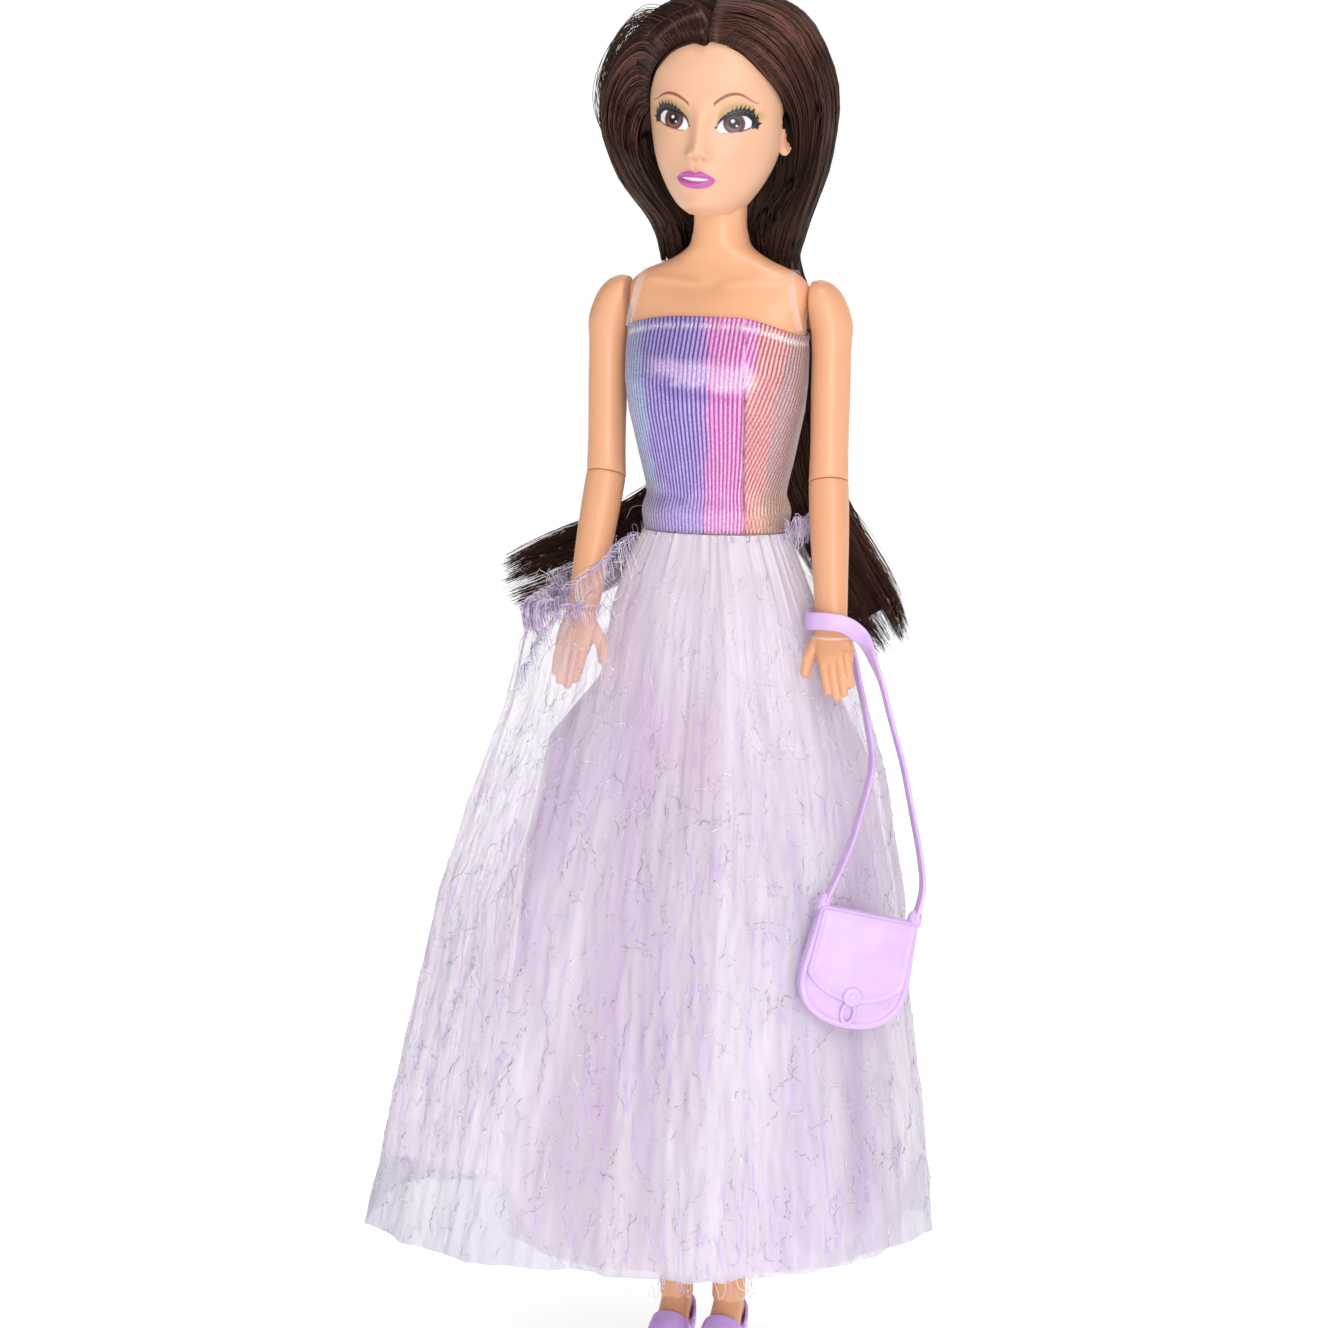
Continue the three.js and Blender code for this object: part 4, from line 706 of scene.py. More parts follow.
# Height of the face above the plain skull, in mm: every term is a bell in x and z.
def faceRelief(x, z):
    side = np.abs(x)
    ridge = readTable(noseRidge, np.clip(z, 253.6, 271))
    up = .9 * ridge[..., 0] * np.exp(-(side / (1.45 * ridge[..., 1])) ** 2)
    up += .85 * bump(side, 1.75, .75) * bump(z, 256.75, .95)  # wings
    up -= .4 * bump(side, .85, .36) * bump(z, 255.75, .34)  # nostrils
    up -= 1.15 * bump(side, 6.2, 3.7) * bump(z, 264.2, 2.8)  # sockets
    up -= .5 * bump(side, 2.9, 1.3) * bump(z, 264.0, 2.0)
    up += .95 * bump(side, 6.6, 3.0) * bump(z, 263.5, 2.2)  # eyeballs
    up += .42 * bump(side, 6.0, 4.6) * bump(z, 268.6, 1.5)  # brow bones
    up += .45 * bump(side, 8.6, 3.4) * bump(z, 257.5, 3.6)  # cheeks
    up -= .3 * bump(side, 7.0, 2.6) * bump(z, 251.5, 3.0)
    m = x + headSet["mouth"]  # the mouth sits a little to the doll's right
    z = z + headSet["mouthLean"] * m
    up += 1.25 * np.exp(-(m / 4.6) ** 2) * bump(z, 252.0, 3.2)
    up -= .16 * bump(m, 0, .55) * bump(z, 254.3, .9)
    upper, lower, meet = lipLines(m)
    up += .5 * np.exp(-(m / 3.4) ** 4) * bump(z, upper - .55, .62)
    up += .62 * np.exp(-(m / 2.9) ** 4) * bump(z, lower + .75, .72)
    up -= .55 * np.exp(-(m / 3.6) ** 6) * bump(z, meet, .42)
    up -= .35 * bump(m, 0, 2.8) * bump(z, 248.9, .8)
    up += 1.15 * bump(x, 0, 3.4) * bump(z, 246.7, 2.1)  # chin
    return up


# The mouth's lines: top of the upper lip with its bow, bottom of the lower lip, and the parting
def lipLines(m):
    t = np.clip(np.abs(m) / 3.95, 0, 1)
    corner = 252.05
    upper = corner + 1.45 * (1 - t ** 2.2) - .42 * bump(m, 0, .62) + .12 * bump(np.abs(m), 1.0, .5)
    lower = corner - 2.15 * np.sqrt(np.clip(1 - t ** 2.4, 0, 1))
    meet = corner - .25 * (1 - t ** 2)
    return upper, lower, meet


# Paint: each feature is a mask with soft edges about 0.15 mm wide, laid over the skin in turn.
facePaint = {"skin": "#e8b897", "blush": "#ec9f8c", "shadowGold": "#a98f52",
             "shadowPink": "#d690b4", "white": "#f6f3f6", "iris": "#553531",
             "irisRim": "#271d20", "irisGlow": "#a0705f",
             "black": "#0d0a0c", "mauve": "#b98cc0", "rustLine": "#a8583c", "brow": "#8f4833",
             "lip": "#c45cb0", "lipDeep": "#93368a", "teeth": "#fdf8f8", "nostril": "#cf8a68"}


def paintFace(x, z, front):
    colour = np.broadcast_to(linear(facePaint["skin"]), x.shape + (3,)).copy()
    gloss = np.zeros(x.shape)
    front = front.astype(float)

    def lay(mask, name, shine=0.0):
        mask = np.clip(mask * front, 0, 1)
        colour[:] = over(colour, linear(facePaint[name]), mask)
        gloss[:] = np.maximum(gloss, mask * shine)

    edge = lambda distance, width=.07: smoothStep(-width, width, distance)
    dull, soft = .12, .2  # shine of the eye's paint and of the lashes
    side = np.abs(x)
    lay(.24 * bump(side, 8.6, 3.3) * bump(z, 257.0, 2.6), "blush")
    # Painted shade in the nostrils
    lay(.35 * bump(side, .9, .5) * bump(z, 255.7, .42), "nostril")
    # Eyes: e runs from the inner corner (0) to the outer one (1). Both slant up outwards, and the
    # pair leans a little to the doll's left.
    inner, outer = 2.95, 10.15
    e = (side - inner) / (outer - inner)
    level = z + .055 * x
    line = 262.45 + 1.6 * e
    arch = np.sqrt(np.clip(e * (1 - e) * 4, 0, 1))
    upper = line + 2.25 * arch ** .9
    lower = line - 1.5 * arch ** .8
    inside = (e > 0) & (e < 1)
    lid = smoothStep(-.12, .16, e) * (1 - smoothStep(1.0, 1.3, e))
    lay(.7 * lid * smoothStep(upper - .3, upper + .5, level)
        * (1 - smoothStep(upper + 1.2, upper + 3.2 - .5 * e, level)), "shadowGold", .25)
    lay(.14 * lid * bump(level, upper + 3.0, .8) * smoothStep(.2, .8, e), "shadowPink", .2)
    ball = edge(np.minimum(upper - level, level - lower)) * inside
    lay(ball, "white", dull)
    lay(.5 * ball * smoothStep(.75, 1, e), "mauve", dull)
    centre, middle = 6.25, 263.55
    irisDistance = np.hypot(side - centre, (level - middle) * .97)
    lay(edge(2.1 - irisDistance) * ball, "irisRim", dull)
    lay(.35 * edge(.07 - np.abs(irisDistance - 1.9), .06) * ball, "mauve", dull)
    lay(edge(1.76 - irisDistance, .12) * ball, "iris", dull)
    spoke = .5 + .5 * np.cos(np.arctan2(level - middle, side - centre) * 22)
    lay(edge(1.62 - irisDistance, .2) * smoothStep(middle + .6, middle - 1.2, level)
        * (.35 + .4 * spoke) * ball, "irisGlow", dull)
    lay(edge(1.05 - irisDistance) * ball, "black", dull)
    lay(.85 * ball * smoothStep(upper - .8, upper - .2, level), "irisRim", dull)  # the lid's shade
    for dx, dz, r in ((-.22, .42, .34), (.55, -.5, .2)):  # highlights, both to the same side
        lay(edge(r - np.hypot(x - np.sign(x) * centre - dx, level - middle - dz)) * ball, "white",
            dull)
    # Upper lash band, heavier outwards, with a comb of curved spikes
    thick = .3 + .55 * smoothStep(-.05, .65, e)
    comb = np.abs((e * 9.5 - (level - upper) * .35) % 1 - .5) * 2
    spike = smoothStep(.1, .6, e) * 1.0 * np.clip(1 - comb, 0, 1) ** 1.7
    under = upper - .2 - .35 * smoothStep(.1, .5, e) - 1.0 * smoothStep(.74, 1.02, e)
    band = edge(np.minimum(level - under, upper + thick + spike - level)) * (e > -.05) * (e < 1.06)
    lay(band, "black", soft)
    lay(.3 * band * bump(level, upper + .4 * thick, .09) * (comb < .5), "mauve", soft)
    wing = edge(.75 * (1 - smoothStep(.98, 1.17, e)) - np.abs(level - (263.5 + 2.2 * (e - 1)))) \
        * (e > .9) * (e < 1.17)
    lay(wing, "black", soft)
    under = np.where(x > 0, 1, 0)
    line = edge(.13 - np.abs(level - (lower - .08)), .08) * (e > .15) * (e < 1.02) * .75
    lay(line * (1 - under), "rustLine", .6)
    lay(line * under, "mauve", .6)
    lay(.8 * edge(.16 - np.abs(level - (lower + .02)), .08) * (e > .6) * (e < 1.05), "black", soft)
    # Brows: an arch that thins outwards, of fine strokes
    start = np.where(x > 0, 2.25, 2.9)
    b = np.clip((side - start) / 8.4, 0, 1)
    arc = 266.85 + 2.3 * np.sin(np.clip(b / .52, 0, 1) * math.pi / 2) ** .8 \
        - np.where(x > 0, 1.95, 1.5) * smoothStep(.5, 1.0, b) ** 1.3
    half = .36 + .1 * np.sin(b * math.pi) - .3 * b
    lay(edge(half - np.abs(z - arc), .12) * edge(side - start, .15) * (side < start + 8.4) * .92,
        "brow")
    # Lips and teeth
    m = x + headSet["mouth"]
    z = z + headSet["mouthLean"] * m
    upperLip, lowerLip, meet = lipLines(m)
    width = edge(3.95 - np.abs(m), .12)
    lips = edge(np.minimum(upperLip - z, z - lowerLip), .1) * width
    lay(lips, "lip", .85)
    smile = np.sqrt(np.clip(1 - (m / 2.75) ** 2, 0, 1))
    lay(edge(np.minimum(meet + .42 * smile - z, z - (meet - .42 * smile)), .07)
        * (np.abs(m) < 2.75), "teeth", .8)
    lay(.6 * edge(.13 - np.abs(z - meet - .3 * np.sign(z - meet) * smile * 1.45), .09)
        * (np.abs(m) < 3.7) * width, "lipDeep", .8)
    return np.concatenate([colour, gloss[..., None]], -1)


def makeHead():
    s = headSet
    t = np.linspace(-1, 1, s["columns"], endpoint=False)
    angle = math.pi * (.42 * t + .58 * t ** 3) - math.pi / 2  # crowded towards the face
    q = np.linspace(0, 1, s["rows"])
    spread = np.interp(q, [0, .08, .86, 1], [0, .07, .72, 1])  # rows crowded between chin and brow
    z = s["bottom"] + s["height"] * spread
    wide, ahead, behind = (v[:, None] for v in headSize(z))
    c, sn = np.cos(angle)[None], np.sin(angle)[None]
    k = 2 / 2.1
    x = squared(c, k) * wide
    y = squared(sn, k) * np.where(sn < 0, ahead, behind)
    level = z[:, None] + 0 * x
    face = smoothStep(0, -.35, sn) + 0 * x
    # The jaw lies a little to the doll's right of the skull's middle
    local = x - s["centre"]
    shifted = x * s["wider"] + s["aside"] - .8 * (1 - smoothStep(246, 260, level))
    height = faceRelief(local, level) * face
    out = unit(np.stack([x / np.maximum(wide, 1) * .35, np.where(sn < 0, -1.0, 0) + 0 * x], -1))
    y = y + out[..., 1] * height
    points = turnHead(np.stack([shifted + out[..., 0] * height, y, level], -1))
    colours = paintFace(local - s["paintAside"], level, sn < -.2)
    made = skin(points, ends=True)
    colours = colours.reshape(-1, 4)
    made["paint"] = np.vstack([colours, colours[:1], colours[-1:]])
    piece("faceShell", made, paintedVinyl, "head", ["head_shell"])


# Ears: a flattened ball with a rolled rim round a hollow, set into each side of the head
earSet = {"aside": 13.35, "behind": .8, "height": 259.7, "halfHeight": 3.5, "halfDepth": 2.0,
          "thick": 1.5}


def makeEars():
    s = earSet
    shells = []
    polar = np.linspace(0, math.pi, 60)[1:-1, None]
    turn = ringAngles(90)[None]
    for side in (1, -1):
        ball = np.cos(polar) + 0 * turn  # out from the head
        back, up = np.sin(polar) * np.cos(turn), np.sin(polar) * np.sin(turn)
        r = np.hypot(back * 1.05 + .05, up)
        hollow = np.where(ball > 0, bump(r, .1, .4) * .9 + .25 * bump(r, .6, .12), 0)
        x = s["aside"] + ball * s["thick"] - hollow + .6 * back
        y = s["behind"] + back * s["halfDepth"] * (1 - .25 * np.clip(-up, 0, 1)) - .3 * up
        z = s["height"] + up * s["halfHeight"]
        shells.append(skin(turnHead(np.stack([side * x, y, z], -1)), ends=True))
    made = joined(shells)
    # Painted shadow: above the lobe the ear is darker, where the hair's shadow falls
    lobeOutOfHairShadow = smoothStep(258.4, 257.0, made["points"][:, 2:])
    colours = lobeOutOfHairShadow * linear(facePaint["skin"]) + (1 - lobeOutOfHairShadow) * linear("#d79c80")
    made["paint"] = np.hstack([colours, 0 * lobeOutOfHairShadow])
    piece("ears", made, paintedVinyl, "head")


makeHead()
makeEars()
print("head")

# Hair: saran fibre in dark brown. Each strand has its own tone, and the shine runs across the
# strands.
def hairMaterial():
    material, tree, surface = newMaterial("saranHair", Roughness=0.3, Anisotropic=0.8,
                                          Specular_IOR_Level=0.5, Specular_Tint=rgba("#dcab97"))
    tone = remap(tree, flowNoise(tree, 420.0, 5.0, 3.0), 0.3, 0.7, 0.62, 1.35)
    feed(surface, {"Base Color": scaledPaint(tree, tone), "Tangent": flowTangent(tree)})
    return material


hairFibre = hairMaterial()
hairSet = {"dark": "#140a08", "mid": "#33201b", "light": "#7c5146", "strands": 1480, "steps": 20,
           "radius": 0.13}
# Gates the strands pass through, each from the edge of the face (first) round to the back (last).
# On the doll's left the roots lie along the parting; on its right they follow the hairline.
crownMiddle = np.array([0, 5.1, 262.0])
gateAt = [0, .1, .28, .5, .72, 1, 1.2]
gatesLeft = np.array([
    [(.1, -12.4, 279.9), (.3, -10.5, 284.0), (.3, -6, 287.6), (.3, -1, 289.2), (.3, 4, 289.6),
     (.3, 9, 288.8), (.3, 14, 286.6)],
    [(5.2, -12.0, 278.8), (6.2, -10.7, 283.6), (7.2, -6.6, 287.2), (7.8, -1, 288.8),
     (7.5, 5, 288.9), (5.5, 11, 287.8), (.3, 17.5, 284.3)],
    [(11.2, -9.7, 273.8), (14.6, -9.2, 278.6), (16.4, -6, 282.6), (17.2, 0, 284.6),
     (16, 7.5, 284.7), (11.3, 15, 283.4), (.3, 20.8, 279)],
    [(15.7, -1.2, 264.6), (19.2, -2.9, 267.2), (22.0, -1.4, 269.4), (23.3, 4, 270.4),
     (20.9, 11.8, 271.6), (12.5, 19.3, 271), (.2, 23.2, 267)],
    [(14.6, 5.0, 253), (17.1, 4.2, 254), (20.1, 4.0, 255.4), (21.9, 7.8, 256.2),
     (19.4, 14.7, 256.2), (12, 21, 256), (.2, 23.3, 253.5)],
    [(8.8, 4.8, 241), (12, 5, 241), (15, 6.6, 241), (16.3, 11, 241), (13.8, 16.6, 241),
     (8, 20.6, 241), (.2, 22.2, 241)],
    [(8.4, 6.6, 233), (10.8, 6.8, 233), (13.4, 8.4, 233), (14.4, 12.5, 233), (12.4, 17.4, 233),
     (7.6, 20.8, 233), (.2, 22.2, 233)]])
gatesRight = np.array([
    [(-13.9, -5.0, 265.3), (-12.7, -8.4, 272.6), (-8.6, -11.4, 277.6), (-3.6, -12.5, 279.8),
     (.1, -12.5, 280.0), (.2, -4.7, 288.0), (.3, 14, 286.6)],
    [(-15.4, -4.2, 264.3), (-15.4, -6.9, 274), (-11.7, -9.6, 281), (-6.4, -10.4, 284.5),
     (-3.0, -9.4, 286.0), (-6.0, 0, 289.1), (.3, 17.5, 284.3)],
    [(-16.9, -3.4, 260.2), (-20.4, -4.2, 270.2), (-18.6, -5.3, 278.6), (-15.2, -3.4, 283.9),
     (-11.6, -.5, 286.5), (-10.6, 9, 286.2), (.3, 20.8, 279)],
    [(-16.9, -2.4, 255), (-22.8, -1.6, 261), (-25.8, 2, 266.0), (-24.6, 7.4, 270),
     (-20.2, 13.2, 272), (-11.8, 19.3, 271), (.2, 23.2, 267)],
    [(-14.2, .8, 248.6), (-19.0, 1.8, 250.6), (-23.2, 5, 252.6), (-23.2, 10.7, 254.3),
     (-18.9, 16.6, 255.3), (-11, 21.3, 255.5), (.2, 23.3, 253.5)],
    [(-9.6, 4.4, 241), (-12.8, 4.8, 241), (-15.6, 7.2, 241), (-16, 11.6, 241), (-13, 16.8, 241),
     (-8, 20.6, 241), (.2, 22.2, 241)],
    [(-9.4, 6.6, 233), (-12, 6.8, 233), (-14.4, 9, 233), (-14.8, 13, 233), (-12.4, 17.4, 233),
     (-7.6, 20.8, 233), (.2, 22.2, 233)]])


# A point of the crown: w is the share along the gates, v the share down through them, both joined
# by cubics. v is one list for all strands, or has a row of its own for each.
def crownPoint(gates, w, v):
    across = np.linspace(0, 1, 7)
    knots = np.stack([readTable(np.column_stack([across, g]), w) for g in gates])
    table = np.column_stack([gateAt, knots.reshape(len(gateAt), -1)])
    if np.ndim(v) == 1:
        return readTable(table, v).reshape(len(v), len(w), 3).transpose(1, 0, 2)
    count = 160
    path = readTable(table, np.linspace(0, gateAt[-1], count)).reshape(count, len(w), 3)
    at = v / gateAt[-1] * (count - 1)
    low = np.clip(at.astype(int), 0, count - 2)
    part = (at - low)[..., None]
    strand = np.arange(len(w))[:, None]
    return path[low, strand] * (1 - part) + path[low + 1, strand] * part


# A strand's colour: dark to mid to light by its lock's share and a draw of its own
def hairTone(rng, lock):
    tone = np.clip(.42 * lock + .58 * rng.random(len(lock)) ** 1.6, 0, 1)[:, None]
    dark, mid, light = (linear(hairSet[k]) for k in ("dark", "mid", "light"))
    return np.where(tone < .5, dark + (mid - dark) * tone * 2, mid + (light - mid) * (tone * 2 - 1))


# Strands over the crown: each follows its lock's place along the gates, lifted and waved with it.
# shine is the strength of the painted highlight over the crown.
def crownStrands(gates, seed, shine):
    rng = np.random.default_rng(seed)
    count, steps = hairSet["strands"], hairSet["steps"]
    locks = 74
    place = (np.arange(locks) + rng.uniform(.1, .9, locks)) / locks
    lock = rng.integers(0, locks, count)
    spread = rng.normal(0, .55 / locks, count)
    w = np.clip(place[lock] + spread, 0, 1)
    reach = 1.2 - .2 * np.abs(rng.normal(0, .5, count)).clip(0, 1)
    v = np.linspace(0, 1, steps)[None] ** 1.1 * reach[:, None]
    path = crownPoint(gates, w, v)
    out = unit(unit(path - crownMiddle) * np.array([1, 1, .3]) ** smoothStep(.6, 1.1, v)[..., None])
    lockLift = rng.uniform(-.35, .15, locks)
    lift = (lockLift[lock] + rng.uniform(-.35, .12, count))[:, None] - 1.6 * smoothStep(1, 1.2, v)
    pace, begin = rng.uniform(5, 9, locks), rng.uniform(0, 6, locks)
    wave = .2 * np.sin(v * pace[lock][:, None] + begin[lock][:, None]) \
        + .08 * np.sin(v * 17 + rng.uniform(0, 6, (count, 1)))
    rise = smoothStep(0, .1, v)
    calm = 1 - .6 * smoothStep(.5, .8, v)
    path = path + out * ((lift + wave) * rise * calm)[..., None]
    side = unit(np.cross(np.gradient(path, axis=1), out))
    drift = rng.normal(0, .4, (count, 1)) * np.sin(v * 3.1) + .25 * np.sin(
        v * 9 + rng.uniform(0, 6, locks)[lock][:, None])
    path = path + side * (drift * rise)[..., None]
    radius = hairSet["radius"] * rng.uniform(.7, 1.2, (count, 1))
    radius = radius * (1 - .6 * smoothStep(.9, 1.2, v))
    # Painted highlight and shade: locks that lie proud are lighter, and all are lightest over the
    # crown and darker towards the neck
    tone = hairTone(rng, (lockLift[lock] + .35) * 1.4 + rng.random(locks)[lock] * .3)
    paintedCrownLightAndShade = (.66 + shine * bump(v, .22, .18)) * (1 - .3 * smoothStep(.5, 1, v))
    return threads(turnHead(path), radius, tone[:, None] * paintedCrownLightAndShade[..., None])


def crownBase():  # a closed core under the strands, with a groove for every few of them
    w = np.linspace(0, 1, 220)
    v = np.linspace(0, 1.02, 72)
    rows = np.concatenate([crownPoint(gatesLeft, w, v), crownPoint(gatesRight, w[::-1], v)[1:]])
    out = unit(rows - crownMiddle)
    across = np.arange(len(rows))[:, None] * 300 / len(w)
    groove = .16 * np.sin(across * 1.3 + 2 * softNoise(across / 9, v[None] * 3, 5)) \
        + .25 * softNoise(across / 5.0, v[None] * 4, 8)
    rows = rows + out * (-.95 - .4 * smoothStep(.55, .8, v)[None]
                         + groove * smoothStep(0, .08, v)[None])[..., None]
    rows = turnHead(rows).transpose(1, 0, 2)
    # Painted shade: the core takes the darkest hair tone, standing for the shade between the
    # strands
    return evenPaint(skin(rows, ends=True), hairSet["dark"])


# Inner hair, seen between the jaw and the outer locks: strands hung just ahead of the cap's front
# wall, which runs straight between the two front edges. f is the share from the right to the left.
def innerStrands(seed, count):
    rng = np.random.default_rng(seed)
    f = rng.uniform(0, 1, count)
    start = rng.uniform(.3, .36, (count, 1)) + .2 * f[:, None]
    end = rng.uniform(.95, 1.04, (count, 1))
    v = start + np.linspace(0, 1, 18)[None] * (end - start)
    first = np.zeros(count)
    right, left = crownPoint(gatesRight, first, v), crownPoint(gatesLeft, first, v)
    share = f[:, None] + .012 * np.sin(v * 11 + f[:, None] * 70)
    path = right + (left - right) * share[..., None]
    path[..., 1] -= .35 + rng.uniform(0, 1.1, (count, 1)) * (.4 + .6 * np.sin(f * math.pi)[:, None])
    # Painted shade: the inner strands are darkened to about a fifth of their tone, for the shade
    # between the jaw and the outer locks
    return threads(turnHead(path), hairSet["radius"] * 1.25 + 0 * v,
                   hairTone(rng, rng.random(count) * .4) * .22)


# Plugs along the hairline: tufts of short fibres, each from one hole, that fan out into the hair.
# On the doll's right they rise from the first gate; on its left they leave the first strand's line.
def plugStrands(gates, seed, plugs, low, high, aside):
    rng = np.random.default_rng(seed)
    each = 7
    place = np.repeat(np.linspace(low, high, plugs), each)
    fan = np.tile(np.linspace(-1, 1, each), plugs) * (high - low) / plugs * .55
    t = np.linspace(0, 1, 10)[None]
    widen = fan[:, None] * smoothStep(0, .5, t)
    if aside:
        first, far = np.zeros(len(place)), np.full(len(place), aside)
        v = place[:, None] + widen + .04 * t
        near = crownPoint(gates, first, v)
        path = near + (crownPoint(gates, far, v) - near) * (t * 1.06 - .06)[..., None]
    else:
        flat = crownPoint(gates, place, .13 * t + 0 * widen)
        beside = crownPoint(gates, np.clip(place + fan, 0, 1), .13 * t + 0 * widen)
        path = flat + (beside - flat) * smoothStep(0, .5, t)[..., None]
    out = unit(path - crownMiddle)
    path = path + out * (.3 * np.sin(np.clip(t * 1.3, 0, 1) * math.pi / 2) - .1)[..., None]
    radius = hairSet["radius"] * (1.15 - .5 * smoothStep(.6, 1, t)) + 0 * widen
    return threads(turnHead(path), radius, hairTone(rng, rng.random(len(place)) * .6) * .8)


# Stray hairs: fine strands that bow out from the crown on the doll's right and come back to it
def strayStrands(seed, count):
    rng = np.random.default_rng(seed)
    w = rng.normal(.42, .05, count)
    first, last = rng.uniform(.1, .18, count), rng.uniform(.4, .62, count)
    t = np.linspace(0, 1, 22)[None]
    path = crownPoint(gatesRight, w, first[:, None] + (last - first)[:, None] * t)
    out = unit(path - crownMiddle)
    bow = rng.uniform(.4, 2.6, (count, 1)) * np.sin(t * math.pi) ** .8
    path = path + out * bow[..., None]
    return threads(turnHead(path), .07 + 0 * t * w[:, None], hairTone(rng, rng.random(count)))


piece("hairStray", strayStrands(28, 60), hairFibre, "head")
piece("hairInner", innerStrands(25, 600), hairFibre, "head")
piece("hairPlugs", joined([plugStrands(gatesLeft, 26, 30, .06, .5, .1),
                           plugStrands(gatesRight, 27, 34, .01, .72, 0)]),
      hairFibre, "head")
piece("hairCap", crownBase(), hairFibre, "head", ["hair_crown"])
piece("hairStrandsLeft", crownStrands(gatesLeft, 21, 1.8), hairFibre, "head")
piece("hairStrandsRight", crownStrands(gatesRight, 22, .8), hairFibre, "head")
print("hair on the head")

# Long hair down the back: two falls, each a chain of middles with half widths and half depths.
# Columns: drop share, then aside, behind, half width and half depth in mm.
fallTop, fallDrop = 240.42, 78.0
fallRight = [(-.05, -2.6, 13.2, 12.6, 8.6), (.05, -2.4, 13.8, 12.2, 8.0),
             (.14, -2.2, 16.4, 11.8, 6.4), (.25, -2.5, 19.2, 11, 4.8),
             (.5, -4, 19.6, 10, 4.4), (.7, -9, 19.2, 9, 4.2), (.8, -17.5, 19.6, 7.8, 3.6),
             (.87, -28, 19.6, 6.8, 3.2), (.93, -38.5, 19.6, 6.4, 2.8), (.98, -47.5, 19.4, 5.8, 2.1),
             (1.01, -53, 19.2, 4.8, 1.5)]
fallLeft = [(-.05, 2.4, 13.2, 10.2, 8.6), (.05, 2.4, 13.8, 9.9, 8.0),
            (.14, 3.6, 16.4, 9.2, 6.4), (.25, 6.4, 19.4, 9.2, 4.8),
            (.5, 9.8, 19.6, 9, 4.4), (.7, 13.6, 19.2, 7.6, 4.2), (.85, 20, 19.6, 6.6, 3.4),
            (1, 27.5, 19.6, 5.6, 2.5), (1.13, 34, 19.2, 3.6, 1.3)]


def fallFrame(table, t):  # the fall's middle and its half width and half depth at a share
    read = readTable(table, t)
    middles = np.stack([read[..., 0], read[..., 1], fallTop - np.asarray(t) * fallDrop], -1)
    return middles, read[..., 2], read[..., 3]


def fallAxes(table, t):
    fine = np.linspace(table[0][0], table[-1][0], 200)
    wideAxis, deepAxis = crossAxes(fallFrame(table, fine)[0])
    pick = lambda a: np.stack([np.interp(t, fine, a[:, k]) for k in range(3)], -1)
    return pick(wideAxis), pick(deepAxis)


# Strands of a fall: each keeps its lock's place in the fall's section, drawn together as it drops.
# ragged is how unevenly the ends are cut.
def fallStrands(table, seed, count, ragged):
    rng = np.random.default_rng(seed)
    steps = hairSet["steps"] + 2
    locks = 46
    angle, reach = rng.uniform(0, fullTurn, locks), np.sqrt(rng.uniform(.25, 1, locks))
    lock = rng.integers(0, locks, count)
    middleA, middleB = reach * np.cos(angle), reach * np.sin(angle)
    strayA, strayB = rng.normal(0, .16, (2, count))
    s = np.linspace(0, 1, steps)[None]
    first, last = table[0][0], table[-1][0]
    end = last - (last - first) * ragged * (np.abs(rng.normal(0, .05, locks))[lock]
                                            + rng.uniform(0, .05, count))
    t = first + (end - first)[:, None] * s
    gather = 1 - .5 * smoothStep(.45, 1, s)
    a = middleA[lock][:, None] + strayA[:, None] * gather
    b = middleB[lock][:, None] + strayB[:, None] * gather
    phase = rng.uniform(0, 6, locks)[lock][:, None]
    a = a + .06 * np.sin(t * 9 + phase) * s + .03 * np.sin(t * 23 + rng.uniform(0, 6, (count, 1)))
    b = b + .08 * np.sin(t * 7 + phase * 1.7)
    norm = np.maximum(1, np.hypot(a, b) / 1.08)
    a, b = a / norm, b / norm
    middles, w, d = fallFrame(table, t)
    wideAxis, deepAxis = fallAxes(table, t)
    fan = 1 + .25 * smoothStep(.75, 1, s)  # the strands spread again at their ends
    path = middles + wideAxis * (a * w * fan)[..., None] + deepAxis * (b * d * fan)[..., None]
    path[..., 2] += rng.normal(0, .6, (count, 1)) * smoothStep(.7, 1, s)
    radius = hairSet["radius"] * rng.uniform(.7, 1.1, (count, 1)) * (1 - .72 * smoothStep(.6, 1, s))
    return threads(path, radius, hairTone(rng, rng.random(locks)[lock]))


def fallBase(table):
    t = np.linspace(table[0][0], table[-1][0] - .1, 60)
    middles, w, d = fallFrame(table, t)
    wideAxis, deepAxis = fallAxes(table, t)
    angle = ringAngles(150)
    c, s = np.cos(angle)[None], np.sin(angle)[None]
    taper = 1 - .45 * smoothStep(.7, 1, np.linspace(0, 1, len(t)))[:, None]
    ripple = .84 + .05 * np.sin(angle * 46 + 1)[None] + .06 * softNoise(
        angle[None] * 6, t[:, None] * 5, 3, 38)
    rows = (middles[:, None] + wideAxis[:, None] * (c * w[:, None] * ripple * taper)[..., None]
            + deepAxis[:, None] * (s * d[:, None] * ripple * taper)[..., None])
    # Painted shade: the core takes the darkest hair tone, standing for the shade between the
    # strands
    return evenPaint(skin(rows, ends=True), hairSet["dark"])


fallPieces = [("hairFallBase", joined([fallBase(fallRight), fallBase(fallLeft)]), ["hair_fall"]),
              ("hairFallRight", fallStrands(fallRight, 31, 1120, .4), []),
              ("hairFallLeft", fallStrands(fallLeft, 32, 1060, 1.0), [])]
for name, made, stands in fallPieces:
    fall = piece(name, made, hairFibre, None, stands)
    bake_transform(fall)
print("long hair")

